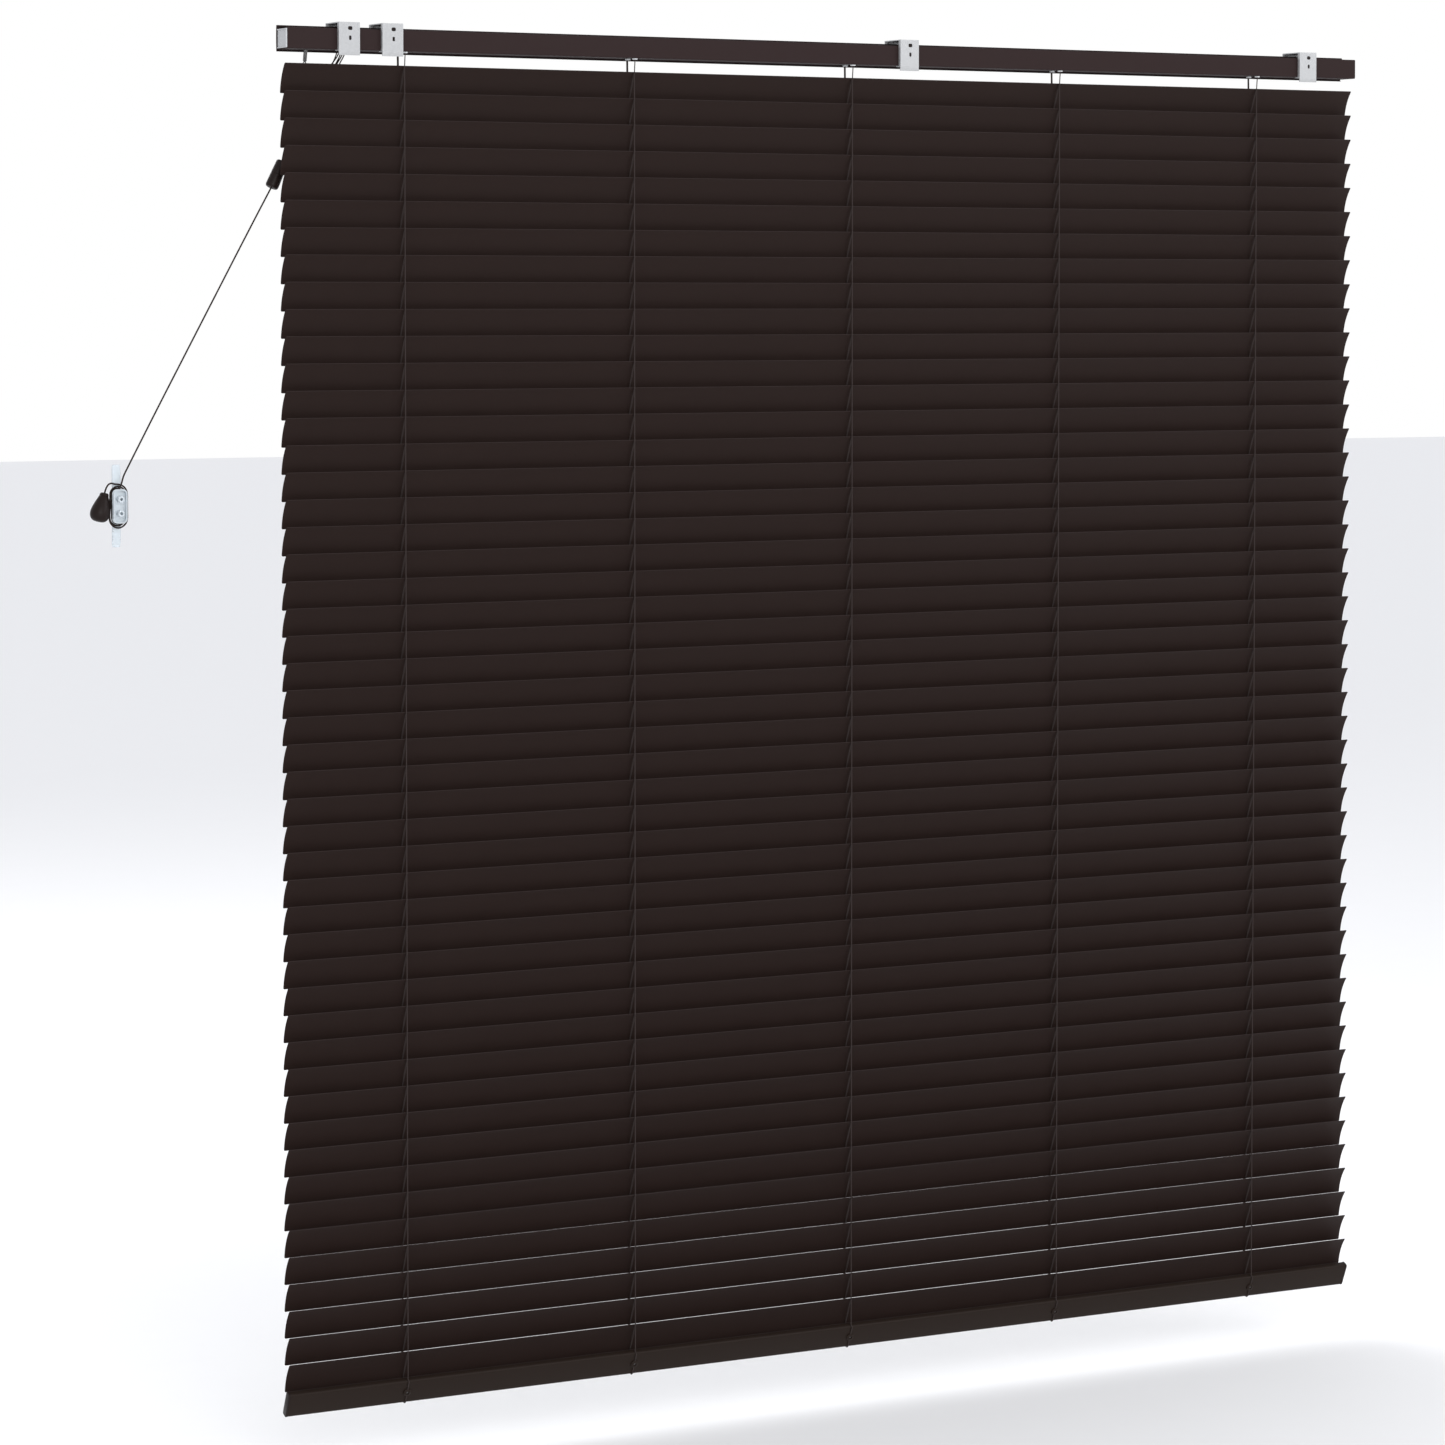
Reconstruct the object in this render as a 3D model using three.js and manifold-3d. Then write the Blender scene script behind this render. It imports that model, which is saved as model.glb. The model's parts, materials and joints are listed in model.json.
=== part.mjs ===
// Venetian blind, 140 cm wide and 150 cm long, with 35 mm aluminium slats.
// Millimetres. +X runs along the blind, -Y faces the room, +Z is up.
// The origin is the middle of the wall face of the fixing brackets.
import * as THREE from "three";
import { mergeVertices } from "three/addons/utils/BufferGeometryUtils.js";
import Module from "manifold-3d";

const wasm = await Module();
wasm.setup();

// ---------------------------------------------------------------- driving dimensions

// Overall width: the headrail and the slats are this long.
const BLIND_WIDTH = 1400;

// Slats: their count and pitch make the blind's length.
const SLAT_COUNT = 49;
const SLAT_WIDTH = 35;
const SLAT_THICKNESS = 0.3;
const SLAT_CROWN = 2.6;
const SLAT_FACETS = 8;
const SLAT_PITCH = 29.2;
const SLAT_CLOSED_DEG = 67.4;

// Ladder and lift cord stations
const STATION_COUNT = 5;
const STATION_END_INSET = 140;
const LADDER_CORD_DIAMETER = 1.6;
const LADDER_END_GAP = 2;
const LADDER_PAST_EDGE = 3;

// Headrail channel
const RAIL_SHEET = 0.8;
const RAIL_WALL_GAP = 4.5;
const RAIL_DEPTH = 30;
const RAIL_BACK_HEIGHT = 22.8;
const RAIL_FLOOR_Z = -12.4;
const FASCIA_HEIGHT = 28.2;
const FASCIA_DROP = 2.2;
const FASCIA_BULGE = 0.8;
const RAIL_LIP = 3.2;
const AXIS_TO_WALL_SIDE = 0.5;
const RAIL_TO_SLATS = 31;

// Fixing brackets
const BRACKETS_FROM_LOCK_END = [70, 121];
const BRACKET_NEAR_MIDDLE_X = -69;
const BRACKET_FROM_FAR_END = 73;
const BRACKET_WIDTH = 24.5;
const BRACKET_SHEET = 1.2;
const BRACKET_ABOVE_FASCIA = 3.6;
const BRACKET_BELOW_FLOOR = 5.9;
const BRACKET_FLANGE = 3;
const BRACKET_SIDE_SHIFT = -1;
const WIDE_SLOT = { width: 5.2, height: 4.1, below_top: 6.5 };
const TALL_SLOT = { width: 2.9, height: 4.8, below_top: 16.9 };
const LIP_HOLE = { diameter: 2.4, side: 6.4, below_top: 2.4 };
const BRACKET_TAB = 8.8;

// Tilt rod, drums, tilter and cord lock inside the headrail
const ROD_ACROSS_CORNERS = 6.8;
const ROD_ABOVE_FLOOR = 13.4;
const ROD_END_GAP = 10;
const DRUM_DIAMETER = 17;
const DRUM_LENGTH = 14;
const CRADLE_SHEET = 1.2;
const CRADLE_WIDTH = 20;
const CRADLE_ABOVE_ROD = 6;
const CRADLE_TO_DRUM = 1.4;
const CORD_OPENING = { half_length: 6, past_drum: 2 };
const BLOCK_WIDTH = 23;
const TILTER_FROM_END = 32;
const TILTER_LENGTH = 26;
const TILTER_ABOVE_ROD = 8;
const TILTER_END_WALL = 2;
const WHEEL_DIAMETER = 10.4;
const WHEEL_LENGTH = 8;
const WORM_DIAMETER = 5.6;
const STEM_DIAMETER = 4.2;
const STEM_LEAN_DEG = 12;
const STEM_BOTTOM_Z = -28;
const LOCK_FROM_END = 69;
const LOCK_LENGTH = 38;
const LOCK_ABOVE_ROD = 5;
const LOCK_MOUTH = { length: 18, from_axis: 4.5, depth: 5.5, roof: 3 };
const RUNNING_GAP = 0.4;

// Wand
const WAND_ACROSS_CORNERS = 7.6;
const WAND_LENGTH = 600;
const WAND_CLEAR_OF_SLATS = 10;
const WAND_HOOK_DIAMETER = 2;
const WAND_HOOK_LENGTH = 14;

// Bottom rail
const BOTTOM_PAST_SLATS = 1.5;
const BOTTOM_WIDTH = 27.5;
const BOTTOM_THICKNESS = 9;
const BOTTOM_CORNER = 2.6;
const BOTTOM_SHEET = 0.8;
const LAST_SLAT_TO_BOTTOM = 27.8;

// Cords, cleat and tassel
const LIFT_BUNDLE_DIAMETER = 3.6;
const PULL_CORD_DIAMETER = 1.8;
const JOINER_DIAMETER = 12.4;
const JOINER_LENGTH = 31;
const CLEAT = { x: 892, z: -497, width: 15.7, height: 36, corner: 5, rim_y: -3, flange_y: -8, horn_y: -14 };
const CLEAT_NECK = { width: 11, height: 32.4, corner: 5 };
const CLEAT_HORN = { width: 10, height: 87, corner: 1.5, thickness: 3.2 };
const CLEAT_LUG_DIAMETER = 7.2;
const CLEAT_SCREW_DIAMETER = 3.2;
const CLEAT_LUG_SPACING = 14.9;
const CLEAT_SHELL = 1.5;
const WINDING_DEPTH = 3.3;
const TASSEL = {
  top: [906.5, -12, -483],
  lean_deg: 14,
  length: 31,
  top_radius: 4,
  base_radius: 11,
  top_rounding: 1,
  base_rounding: 4,
};
const TAIL_DIAMETER = 1.8;

const TOUCH_GAP = 0.3;
const OVERLAP = 0.2;
const THROUGH = 1;
const ROUND = 16;
const CORD_SIDES = 8;

// Route of the lift cords from the cord lock to the joiner, and of the one cord from there to the cleat.
const LIFT_CORD_ROUTE = [
  [628, -27, -12.8],
  [628.4, -27.6, -15.5],
  [629.4, -29.6, -19.4],
  [631, -32.8, -24],
  [633.2, -36, -30],
  [636.4, -38.4, -38],
  [642, -39.4, -50],
  [650.5, -39.7, -66],
  [660.5, -39.9, -84],
  [671, -40.2, -102],
  [681, -42.2, -119],
  [689.4, -45, -132.6],
];
const PULL_CORD_ROUTE = [
  [689.4, -45, -132.6],
  [695.5, -45, -145.5],
  [702.2, -45, -159.8],
  [720.5, -42.2, -190],
  [744, -38.2, -229],
  [768, -33.9, -269],
  [792, -29.6, -309],
  [816, -25.2, -349],
  [840, -20.8, -389],
  [862, -16.6, -426],
  [878, -13.4, -453],
  [888.5, -11.4, -470.6],
  [890.2, -11.1, -473.2],
];
const TAIL_ROUTE = [
  [894.8, -11.2, -473.1],
  [898.4, -11.4, -472.4],
  [901.8, -11.6, -473.8],
  [904.4, -11.8, -477.2],
  [905.9, -12, -481.2],
  [906.5, -12, -483.6],
];

// ---------------------------------------------------------------- derived places

const closed = THREE.MathUtils.degToRad(SLAT_CLOSED_DEG);
const railBackY = -RAIL_WALL_GAP;
const railFrontY = railBackY - RAIL_DEPTH;
const railEndX = BLIND_WIDTH / 2;
const axisY = railBackY - RAIL_DEPTH / 2 + AXIS_TO_WALL_SIDE;
const slatZ = (index) => RAIL_FLOOR_Z - RAIL_TO_SLATS - index * SLAT_PITCH;
const bottomRailZ = slatZ(SLAT_COUNT - 1) - LAST_SLAT_TO_BOTTOM;
const fasciaBottomZ = RAIL_FLOOR_Z - FASCIA_DROP;
const fasciaTopZ = fasciaBottomZ + FASCIA_HEIGHT;
const floorInsideZ = RAIL_FLOOR_Z + RAIL_SHEET;
const bracketTopZ = fasciaTopZ + BRACKET_ABOVE_FASCIA;
const bracketX = [
  ...BRACKETS_FROM_LOCK_END.map((inset) => railEndX - inset),
  BRACKET_NEAR_MIDDLE_X,
  BRACKET_FROM_FAR_END - railEndX,
];
const stationSpacing = (BLIND_WIDTH - 2 * STATION_END_INSET) / (STATION_COUNT - 1);
const firstStationX = STATION_END_INSET - railEndX;
const stationX = Array.from({ length: STATION_COUNT }, (_, i) => firstStationX + i * stationSpacing);
const rodZ = RAIL_FLOOR_Z + ROD_ABOVE_FLOOR;
const tilterX = railEndX - TILTER_FROM_END;
const lockX = railEndX - LOCK_FROM_END;
const rodRadius = ROD_ACROSS_CORNERS / 2;
const rodBoreRadius = rodRadius + RUNNING_GAP;
const lean = THREE.MathUtils.degToRad(STEM_LEAN_DEG);
const wormToWheel = WHEEL_DIAMETER / 2 + WORM_DIAMETER / 2 + TOUCH_GAP;
const wormCentre = new THREE.Vector3(
  tilterX,
  axisY - wormToWheel * Math.cos(lean),
  rodZ + wormToWheel * Math.sin(lean),
);
const stemDown = new THREE.Vector3(0, -Math.sin(lean), -Math.cos(lean));
const stemReach = (z) => (wormCentre.z - z) / Math.cos(lean);
const stemPoint = (z) => wormCentre.clone().addScaledVector(stemDown, stemReach(z));
const wandY = axisY - SLAT_WIDTH / 2 - WAND_CLEAR_OF_SLATS;

// ---------------------------------------------------------------- solids

function solid(geometry) {
  const plain = geometry.clone();
  plain.deleteAttribute("normal");
  plain.deleteAttribute("uv");
  const merged = mergeVertices(plain, 1e-4);
  const vertProperties = new Float32Array(merged.attributes.position.array);
  const triVerts = new Uint32Array(merged.index.array);
  return new wasm.Manifold(new wasm.Mesh({ numProp: 3, vertProperties, triVerts }));
}

function geometryOf(manifold) {
  const mesh = manifold.getMesh();
  const geometry = new THREE.BufferGeometry();
  geometry.setAttribute("position", new THREE.BufferAttribute(new Float32Array(mesh.vertProperties), 3));
  geometry.setIndex(new THREE.BufferAttribute(new Uint32Array(mesh.triVerts), 1));
  geometry.computeVertexNormals();
  return geometry;
}

const join = (geometries) => geometries.map(solid).reduce((whole, piece) => whole.add(piece));

const cut = (whole, geometries) => geometries.map(solid).reduce((rest, piece) => rest.subtract(piece), whole);

function block(x, y, z) {
  const geometry = new THREE.BoxGeometry(x[1] - x[0], y[1] - y[0], z[1] - z[0]);
  return geometry.translate((x[0] + x[1]) / 2, (y[0] + y[1]) / 2, (z[0] + z[1]) / 2);
}

function pushed(shape, depth) {
  return new THREE.ExtrudeGeometry(shape, { depth, bevelEnabled: false, curveSegments: 2 });
}

// A plane outline pushed along +X: its own x lies along Y and its own y along Z.
function alongX(shape, fromX, toX) {
  const geometry = pushed(shape, toX - fromX);
  const turn = new THREE.Matrix4().makeBasis(
    new THREE.Vector3(0, 1, 0),
    new THREE.Vector3(0, 0, 1),
    new THREE.Vector3(1, 0, 0),
  );
  return geometry.applyMatrix4(turn).translate(fromX, 0, 0);
}

// A plane outline pushed along -Y: its own x lies along X and its own y along Z.
function alongY(shape, fromY, toY) {
  const geometry = pushed(shape, fromY - toY);
  const turn = new THREE.Matrix4().makeBasis(
    new THREE.Vector3(1, 0, 0),
    new THREE.Vector3(0, 0, 1),
    new THREE.Vector3(0, -1, 0),
  );
  return geometry.applyMatrix4(turn).translate(0, fromY, 0);
}

function rodAlongX(radius, fromX, toX, y, z, sides = ROUND) {
  const geometry = new THREE.CylinderGeometry(radius, radius, toX - fromX, sides);
  return geometry.rotateZ(Math.PI / 2).translate((fromX + toX) / 2, y, z);
}

function rodAlongY(radius, fromY, toY, x, z, sides = 12) {
  const geometry = new THREE.CylinderGeometry(radius, radius, fromY - toY, sides);
  return geometry.translate(x, (fromY + toY) / 2, z);
}

function rodBetween(radius, from, to, sides = 12) {
  const geometry = new THREE.CylinderGeometry(radius, radius, from.distanceTo(to), sides);
  const direction = to.clone().sub(from).normalize();
  const turn = new THREE.Quaternion().setFromUnitVectors(new THREE.Vector3(0, 1, 0), direction);
  const middle = from.clone().add(to).multiplyScalar(0.5);
  return geometry.applyQuaternion(turn).translate(middle.x, middle.y, middle.z);
}

function cordAlong(points, diameter, steps) {
  const stops = points.map((point) => new THREE.Vector3(...point));
  const path = new THREE.CatmullRomCurve3(stops, false, "centripetal");
  const section = Array.from({ length: CORD_SIDES }, (_, i) => {
    const angle = (i / CORD_SIDES) * Math.PI * 2;
    return [(Math.cos(angle) * diameter) / 2, (Math.sin(angle) * diameter) / 2];
  });
  return new THREE.ExtrudeGeometry(outline(section), { steps, extrudePath: path });
}

function outline(points) {
  return new THREE.Shape(points.map(([x, y]) => new THREE.Vector2(x, y)));
}

function roundedBox(width, height, radius) {
  const shape = new THREE.Shape();
  const x = width / 2;
  const y = height / 2;
  shape.moveTo(-x + radius, -y);
  shape.lineTo(x - radius, -y);
  shape.absarc(x - radius, -y + radius, radius, -Math.PI / 2, 0, false);
  shape.absarc(x - radius, y - radius, radius, 0, Math.PI / 2, false);
  shape.absarc(-x + radius, y - radius, radius, Math.PI / 2, Math.PI, false);
  shape.absarc(-x + radius, -y + radius, radius, Math.PI, Math.PI * 1.5, false);
  return shape;
}

function moved(shape, x, y) {
  return new THREE.Shape(shape.getPoints(2).map((point) => new THREE.Vector2(point.x + x, point.y + y)));
}

// ---------------------------------------------------------------- finishes

function paint(color, roughness, metalness) {
  return new THREE.MeshStandardMaterial({ color, roughness, metalness });
}

const FINISH = {
  slat: () => paint(0x2a2120, 0.45, 0.3),
  rail: () => paint(0x322828, 0.4, 0.4),
  bottom: () => paint(0x2c2620, 0.45, 0.4),
  steel: () => paint(0xb0b2b6, 0.35, 0.8),
  clear: () => paint(0xd5dde2, 0.2, 0),
  cord: () => paint(0x4a3f3a, 0.9, 0),
  dark: () => paint(0x241d1b, 0.5, 0),
};

const assembly = new THREE.Group();

function piece(name, geometry, material) {
  const mesh = new THREE.Mesh(geometry, material);
  mesh.name = name;
  assembly.add(mesh);
  return mesh;
}

// ---------------------------------------------------------------- headrail with its fixed fittings

function railOutline() {
  const inside = RAIL_SHEET;
  const fasciaSteps = 4;
  const fascia = Array.from({ length: fasciaSteps + 1 }, (_, i) => {
    const share = i / fasciaSteps;
    const across = 2 * share - 1;
    return [railFrontY - FASCIA_BULGE * (1 - across * across), fasciaBottomZ + share * FASCIA_HEIGHT];
  });
  const backTopZ = RAIL_FLOOR_Z + RAIL_BACK_HEIGHT;
  return outline([
    [railBackY - RAIL_LIP, backTopZ],
    [railBackY - RAIL_LIP, backTopZ - inside],
    [railBackY - inside, backTopZ - inside],
    [railBackY - inside, floorInsideZ],
    [railFrontY + inside, floorInsideZ],
    [railFrontY + inside, fasciaTopZ - inside],
    [railFrontY + RAIL_LIP, fasciaTopZ - inside],
    [railFrontY + RAIL_LIP, fasciaTopZ],
    ...fascia.reverse(),
    [railFrontY + inside, fasciaBottomZ],
    [railFrontY + inside, RAIL_FLOOR_Z],
    [railBackY, RAIL_FLOOR_Z],
    [railBackY, backTopZ],
  ]);
}

function bracketPieces(x) {
  const half = BRACKET_WIDTH / 2;
  const across = [x - half, x + half];
  const lipInnerY = railFrontY + OVERLAP / 2;
  const lipOuterY = lipInnerY - BRACKET_SHEET;
  const plate = block(across, [-BRACKET_SHEET, 0], [RAIL_FLOOR_Z - BRACKET_BELOW_FLOOR, bracketTopZ]);
  const top = block(across, [lipOuterY, 0], [bracketTopZ - BRACKET_SHEET, bracketTopZ]);
  const lip = block(across, [lipOuterY, lipInnerY], [fasciaTopZ - BRACKET_SHEET, bracketTopZ]);
  const tabZ = [RAIL_FLOOR_Z + OVERLAP - BRACKET_SHEET, RAIL_FLOOR_Z + OVERLAP];
  const tab = block(across, [-BRACKET_TAB - BRACKET_SHEET, 0], tabZ);
  const flanges = [-1, 1].map((side) => {
    const middle = x + side * (half - BRACKET_SHEET / 2);
    const width = [middle - BRACKET_SHEET / 2, middle + BRACKET_SHEET / 2];
    return block(width, [-BRACKET_SHEET - BRACKET_FLANGE, 0], [RAIL_FLOOR_Z, bracketTopZ]);
  });
  return [plate, top, lip, tab, ...flanges];
}

function bracketHoles(x) {
  const holeX = x + BRACKET_SIDE_SHIFT;
  const slots = [WIDE_SLOT, TALL_SLOT].map((slot) => {
    const radius = Math.min(slot.width, slot.height) / 2 - 0.01;
    const shape = moved(roundedBox(slot.width, slot.height, radius), holeX, bracketTopZ - slot.below_top);
    return alongY(shape, THROUGH, -BRACKET_SHEET - THROUGH);
  });
  const lipHole = rodAlongY(
    LIP_HOLE.diameter / 2,
    railFrontY + THROUGH,
    railFrontY - BRACKET_SHEET - THROUGH,
    x + LIP_HOLE.side,
    bracketTopZ - LIP_HOLE.below_top,
    10,
  );
  return [...slots, lipHole];
}

function cradlePieces(x) {
  const offset = DRUM_LENGTH / 2 + CRADLE_TO_DRUM + CRADLE_SHEET / 2;
  const y = [axisY - CRADLE_WIDTH / 2, axisY + CRADLE_WIDTH / 2];
  const z = [floorInsideZ - OVERLAP, rodZ + CRADLE_ABOVE_ROD];
  return [-1, 1].map((side) => {
    const middle = x + side * offset;
    return block([middle - CRADLE_SHEET / 2, middle + CRADLE_SHEET / 2], y, z);
  });
}

function fittingBlock(x, length, aboveRod) {
  const y = [axisY - BLOCK_WIDTH / 2, axisY + BLOCK_WIDTH / 2];
  return block([x - length / 2, x + length / 2], y, [floorInsideZ - OVERLAP, rodZ + aboveRod]);
}

function headrail() {
  const channel = alongX(railOutline(), -railEndX, railEndX);
  const fixed = [
    channel,
    ...bracketX.flatMap(bracketPieces),
    ...stationX.flatMap(cradlePieces),
    fittingBlock(tilterX, TILTER_LENGTH, TILTER_ABOVE_ROD),
    fittingBlock(lockX, LOCK_LENGTH, LOCK_ABOVE_ROD),
  ];
  const openingHalf = DRUM_DIAMETER / 2 + CORD_OPENING.past_drum;
  const openingY = [axisY - openingHalf, axisY + openingHalf];
  const openingZ = [RAIL_FLOOR_Z - THROUGH, floorInsideZ + THROUGH];
  const cordOpenings = stationX.map((x) => {
    const openingX = [x - CORD_OPENING.half_length, x + CORD_OPENING.half_length];
    return block(openingX, openingY, openingZ);
  });
  const wheelRoom = rodAlongX(
    WHEEL_DIAMETER / 2 + RUNNING_GAP,
    tilterX - WHEEL_LENGTH / 2 - RUNNING_GAP,
    tilterX + WHEEL_LENGTH / 2 + RUNNING_GAP,
    axisY,
    rodZ,
  );
  const wormRoomTop = stemPoint(wormCentre.z + WORM_DIAMETER + THROUGH);
  const wormRoomFoot = stemPoint(wormCentre.z - WORM_DIAMETER - THROUGH);
  const stemHoleFoot = stemPoint(fasciaBottomZ - 2 * THROUGH);
  const mouthInnerY = axisY - LOCK_MOUTH.from_axis;
  const lockMouth = block(
    [lockX - LOCK_MOUTH.length / 2, lockX + LOCK_MOUTH.length / 2],
    [mouthInnerY - LOCK_MOUTH.depth, mouthInnerY],
    [RAIL_FLOOR_Z - THROUGH, rodZ + LOCK_ABOVE_ROD - LOCK_MOUTH.roof],
  );
  return cut(join(fixed), [
    ...bracketX.flatMap(bracketHoles),
    ...cordOpenings,
    rodAlongX(rodBoreRadius, -railEndX - THROUGH, tilterX + TILTER_LENGTH / 2 - TILTER_END_WALL, axisY, rodZ),
    wheelRoom,
    rodBetween(WORM_DIAMETER / 2 + RUNNING_GAP, wormRoomTop, wormRoomFoot),
    rodBetween(STEM_DIAMETER / 2 + RUNNING_GAP, wormCentre, stemHoleFoot),
    lockMouth,
  ]);
}

piece("headrail", geometryOf(headrail()), FINISH.rail());

// ---------------------------------------------------------------- tilt rod with its drums and worm wheel

function tiltRod() {
  const from = -railEndX + ROD_END_GAP;
  const to = tilterX + TILTER_LENGTH / 2 - 2 * TILTER_END_WALL;
  const onRod = (diameter, length, x) => rodAlongX(diameter / 2, x - length / 2, x + length / 2, axisY, rodZ);
  const drums = stationX.map((x) => onRod(DRUM_DIAMETER, DRUM_LENGTH, x));
  const wheel = onRod(WHEEL_DIAMETER, WHEEL_LENGTH, tilterX);
  return join([rodAlongX(rodRadius, from, to, axisY, rodZ, 6), ...drums, wheel]);
}

piece("tilt_rod", geometryOf(tiltRod()), FINISH.steel());

// ---------------------------------------------------------------- tilter stem with its worm

function tilterStem() {
  const wormTop = stemPoint(wormCentre.z + WORM_DIAMETER);
  const wormFoot = stemPoint(wormCentre.z - WORM_DIAMETER);
  const foot = stemPoint(STEM_BOTTOM_Z);
  const worm = rodBetween(WORM_DIAMETER / 2, wormTop, wormFoot);
  const stem = rodBetween(STEM_DIAMETER / 2, wormTop, foot, 8);
  return join([worm, stem]);
}

piece("tilter_stem", geometryOf(tilterStem()), FINISH.clear());

// ---------------------------------------------------------------- wand hanging from the stem

function wand() {
  const hang = stemPoint(STEM_BOTTOM_Z - TOUCH_GAP - WAND_HOOK_DIAMETER / 2);
  const topZ = hang.z - WAND_HOOK_LENGTH;
  const hookStops = [
    [tilterX, hang.y, hang.z],
    [tilterX, hang.y - 1.5 * WAND_HOOK_DIAMETER, hang.z - 1.1 * WAND_HOOK_DIAMETER],
    [tilterX, wandY + 0.6 * WAND_HOOK_DIAMETER, hang.z - WAND_HOOK_LENGTH / 2],
    [tilterX, wandY, topZ - 2 * WAND_HOOK_DIAMETER],
  ];
  const hook = cordAlong(hookStops, WAND_HOOK_DIAMETER, 8);
  const top = new THREE.Vector3(tilterX, wandY, topZ);
  const bottom = new THREE.Vector3(tilterX, wandY, topZ - WAND_LENGTH);
  return join([hook, rodBetween(WAND_ACROSS_CORNERS / 2, top, bottom, 6)]);
}

piece("tilt_wand", geometryOf(wand()), FINISH.clear());

// ---------------------------------------------------------------- slats

// A slat's section: two circular arcs, one sheet thickness apart, through both edges and the crown.
function slatOutline() {
  const half = SLAT_WIDTH / 2;
  const radius = (half ** 2 + SLAT_CROWN ** 2) / (2 * SLAT_CROWN);
  const sweep = Math.asin(half / radius);
  const arc = (r) =>
    Array.from({ length: SLAT_FACETS + 1 }, (_, i) => {
      const angle = sweep * ((2 * i) / SLAT_FACETS - 1);
      return [r * Math.sin(angle), r * Math.cos(angle) - radius + SLAT_CROWN];
    });
  return outline([...arc(radius - SLAT_THICKNESS), ...arc(radius).reverse()]);
}

const slatGeometry = geometryOf(solid(alongX(slatOutline(), -railEndX, railEndX)));
for (let index = 0; index < SLAT_COUNT; index += 1) {
  const mesh = piece(`slat_${String(index + 1).padStart(2, "0")}`, slatGeometry, FINISH.slat());
  mesh.position.set(0, axisY, slatZ(index));
  mesh.rotation.x = closed;
}

// ---------------------------------------------------------------- bottom rail

function bottomRail() {
  const skin = roundedBox(BOTTOM_WIDTH, BOTTOM_THICKNESS, BOTTOM_CORNER);
  const inner = roundedBox(
    BOTTOM_WIDTH - 2 * BOTTOM_SHEET,
    BOTTOM_THICKNESS - 2 * BOTTOM_SHEET,
    BOTTOM_CORNER - BOTTOM_SHEET,
  );
  skin.holes.push(new THREE.Path(inner.getPoints(2).reverse()));
  return alongX(skin, -railEndX - BOTTOM_PAST_SLATS, railEndX + BOTTOM_PAST_SLATS);
}

const bottomMesh = piece("bottom_rail", geometryOf(solid(bottomRail())), FINISH.bottom());
bottomMesh.position.set(0, axisY, bottomRailZ);
bottomMesh.rotation.x = closed;

// ---------------------------------------------------------------- ladder cords of the middle station

// Each upright cord of the ladder stands just outside the slats' edges.
function ladderCord(name, side, topZ, bottomZ) {
  const y = axisY + side * ((SLAT_WIDTH / 2) * Math.cos(closed) + LADDER_CORD_DIAMETER / 2 + TOUCH_GAP);
  const cord = rodBetween(
    LADDER_CORD_DIAMETER / 2,
    new THREE.Vector3(0, y, topZ),
    new THREE.Vector3(0, y, bottomZ),
    8,
  );
  piece(name, geometryOf(solid(cord)), FINISH.cord());
}

const edgeRise = (SLAT_WIDTH / 2) * Math.sin(closed);
const lastSlatZ = slatZ(SLAT_COUNT - 1);
const ladderFootZ = lastSlatZ - LADDER_PAST_EDGE;
ladderCord("ladder_cord_wall_side", 1, fasciaBottomZ - LADDER_END_GAP, ladderFootZ + edgeRise);
ladderCord("ladder_cord_room_side", -1, slatZ(0) - LADDER_END_GAP, ladderFootZ - edgeRise);

// ---------------------------------------------------------------- pull cord with its joiner

function pullCord() {
  const from = new THREE.Vector3(...LIFT_CORD_ROUTE.at(-1));
  const direction = new THREE.Vector3(...PULL_CORD_ROUTE[2]).sub(from).normalize();
  const joinerTop = from.clone().addScaledVector(direction, -THROUGH);
  const joinerFoot = joinerTop.clone().addScaledVector(direction, JOINER_LENGTH);
  return join([
    cordAlong(LIFT_CORD_ROUTE, LIFT_BUNDLE_DIAMETER, 22),
    rodBetween(JOINER_DIAMETER / 2, joinerTop, joinerFoot, ROUND),
    cordAlong(PULL_CORD_ROUTE, PULL_CORD_DIAMETER, 30),
  ]);
}

piece("pull_cord", geometryOf(pullCord()), FINISH.cord());

// ---------------------------------------------------------------- cleat on the wall

function cleat() {
  const flange = alongY(
    moved(roundedBox(CLEAT.width, CLEAT.height, CLEAT.corner), CLEAT.x, CLEAT.z),
    CLEAT.rim_y,
    CLEAT.flange_y,
  );
  const neck = alongY(
    moved(roundedBox(CLEAT_NECK.width, CLEAT_NECK.height, CLEAT_NECK.corner), CLEAT.x, CLEAT.z),
    CLEAT.flange_y + THROUGH,
    CLEAT.horn_y - THROUGH,
  );
  const horns = alongY(
    moved(roundedBox(CLEAT_HORN.width, CLEAT_HORN.height, CLEAT_HORN.corner), CLEAT.x, CLEAT.z),
    CLEAT.horn_y,
    CLEAT.horn_y - CLEAT_HORN.thickness,
  );
  const inside = roundedBox(
    CLEAT.width - 2 * CLEAT_SHELL,
    CLEAT.height - 2 * CLEAT_SHELL,
    CLEAT.corner - CLEAT_SHELL,
  );
  const hollow = alongY(moved(inside, CLEAT.x, CLEAT.z), CLEAT.rim_y + THROUGH, CLEAT.flange_y + CLEAT_SHELL);
  const lugZ = [-1, 1].map((side) => CLEAT.z + (side * CLEAT_LUG_SPACING) / 2);
  const lugs = lugZ.map((z) => rodAlongY(CLEAT_LUG_DIAMETER / 2, 0, CLEAT.flange_y, CLEAT.x, z));
  const screwFootY = CLEAT.horn_y - CLEAT_HORN.thickness - THROUGH;
  const screws = lugZ.map((z) => rodAlongY(CLEAT_SCREW_DIAMETER / 2, THROUGH, screwFootY, CLEAT.x, z));
  const shell = cut(join([flange, neck, horns]), [hollow]);
  return cut(shell.add(join(lugs)), screws);
}

piece("cord_cleat", geometryOf(cleat()), FINISH.clear());

// ---------------------------------------------------------------- cord wound on the cleat

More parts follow.
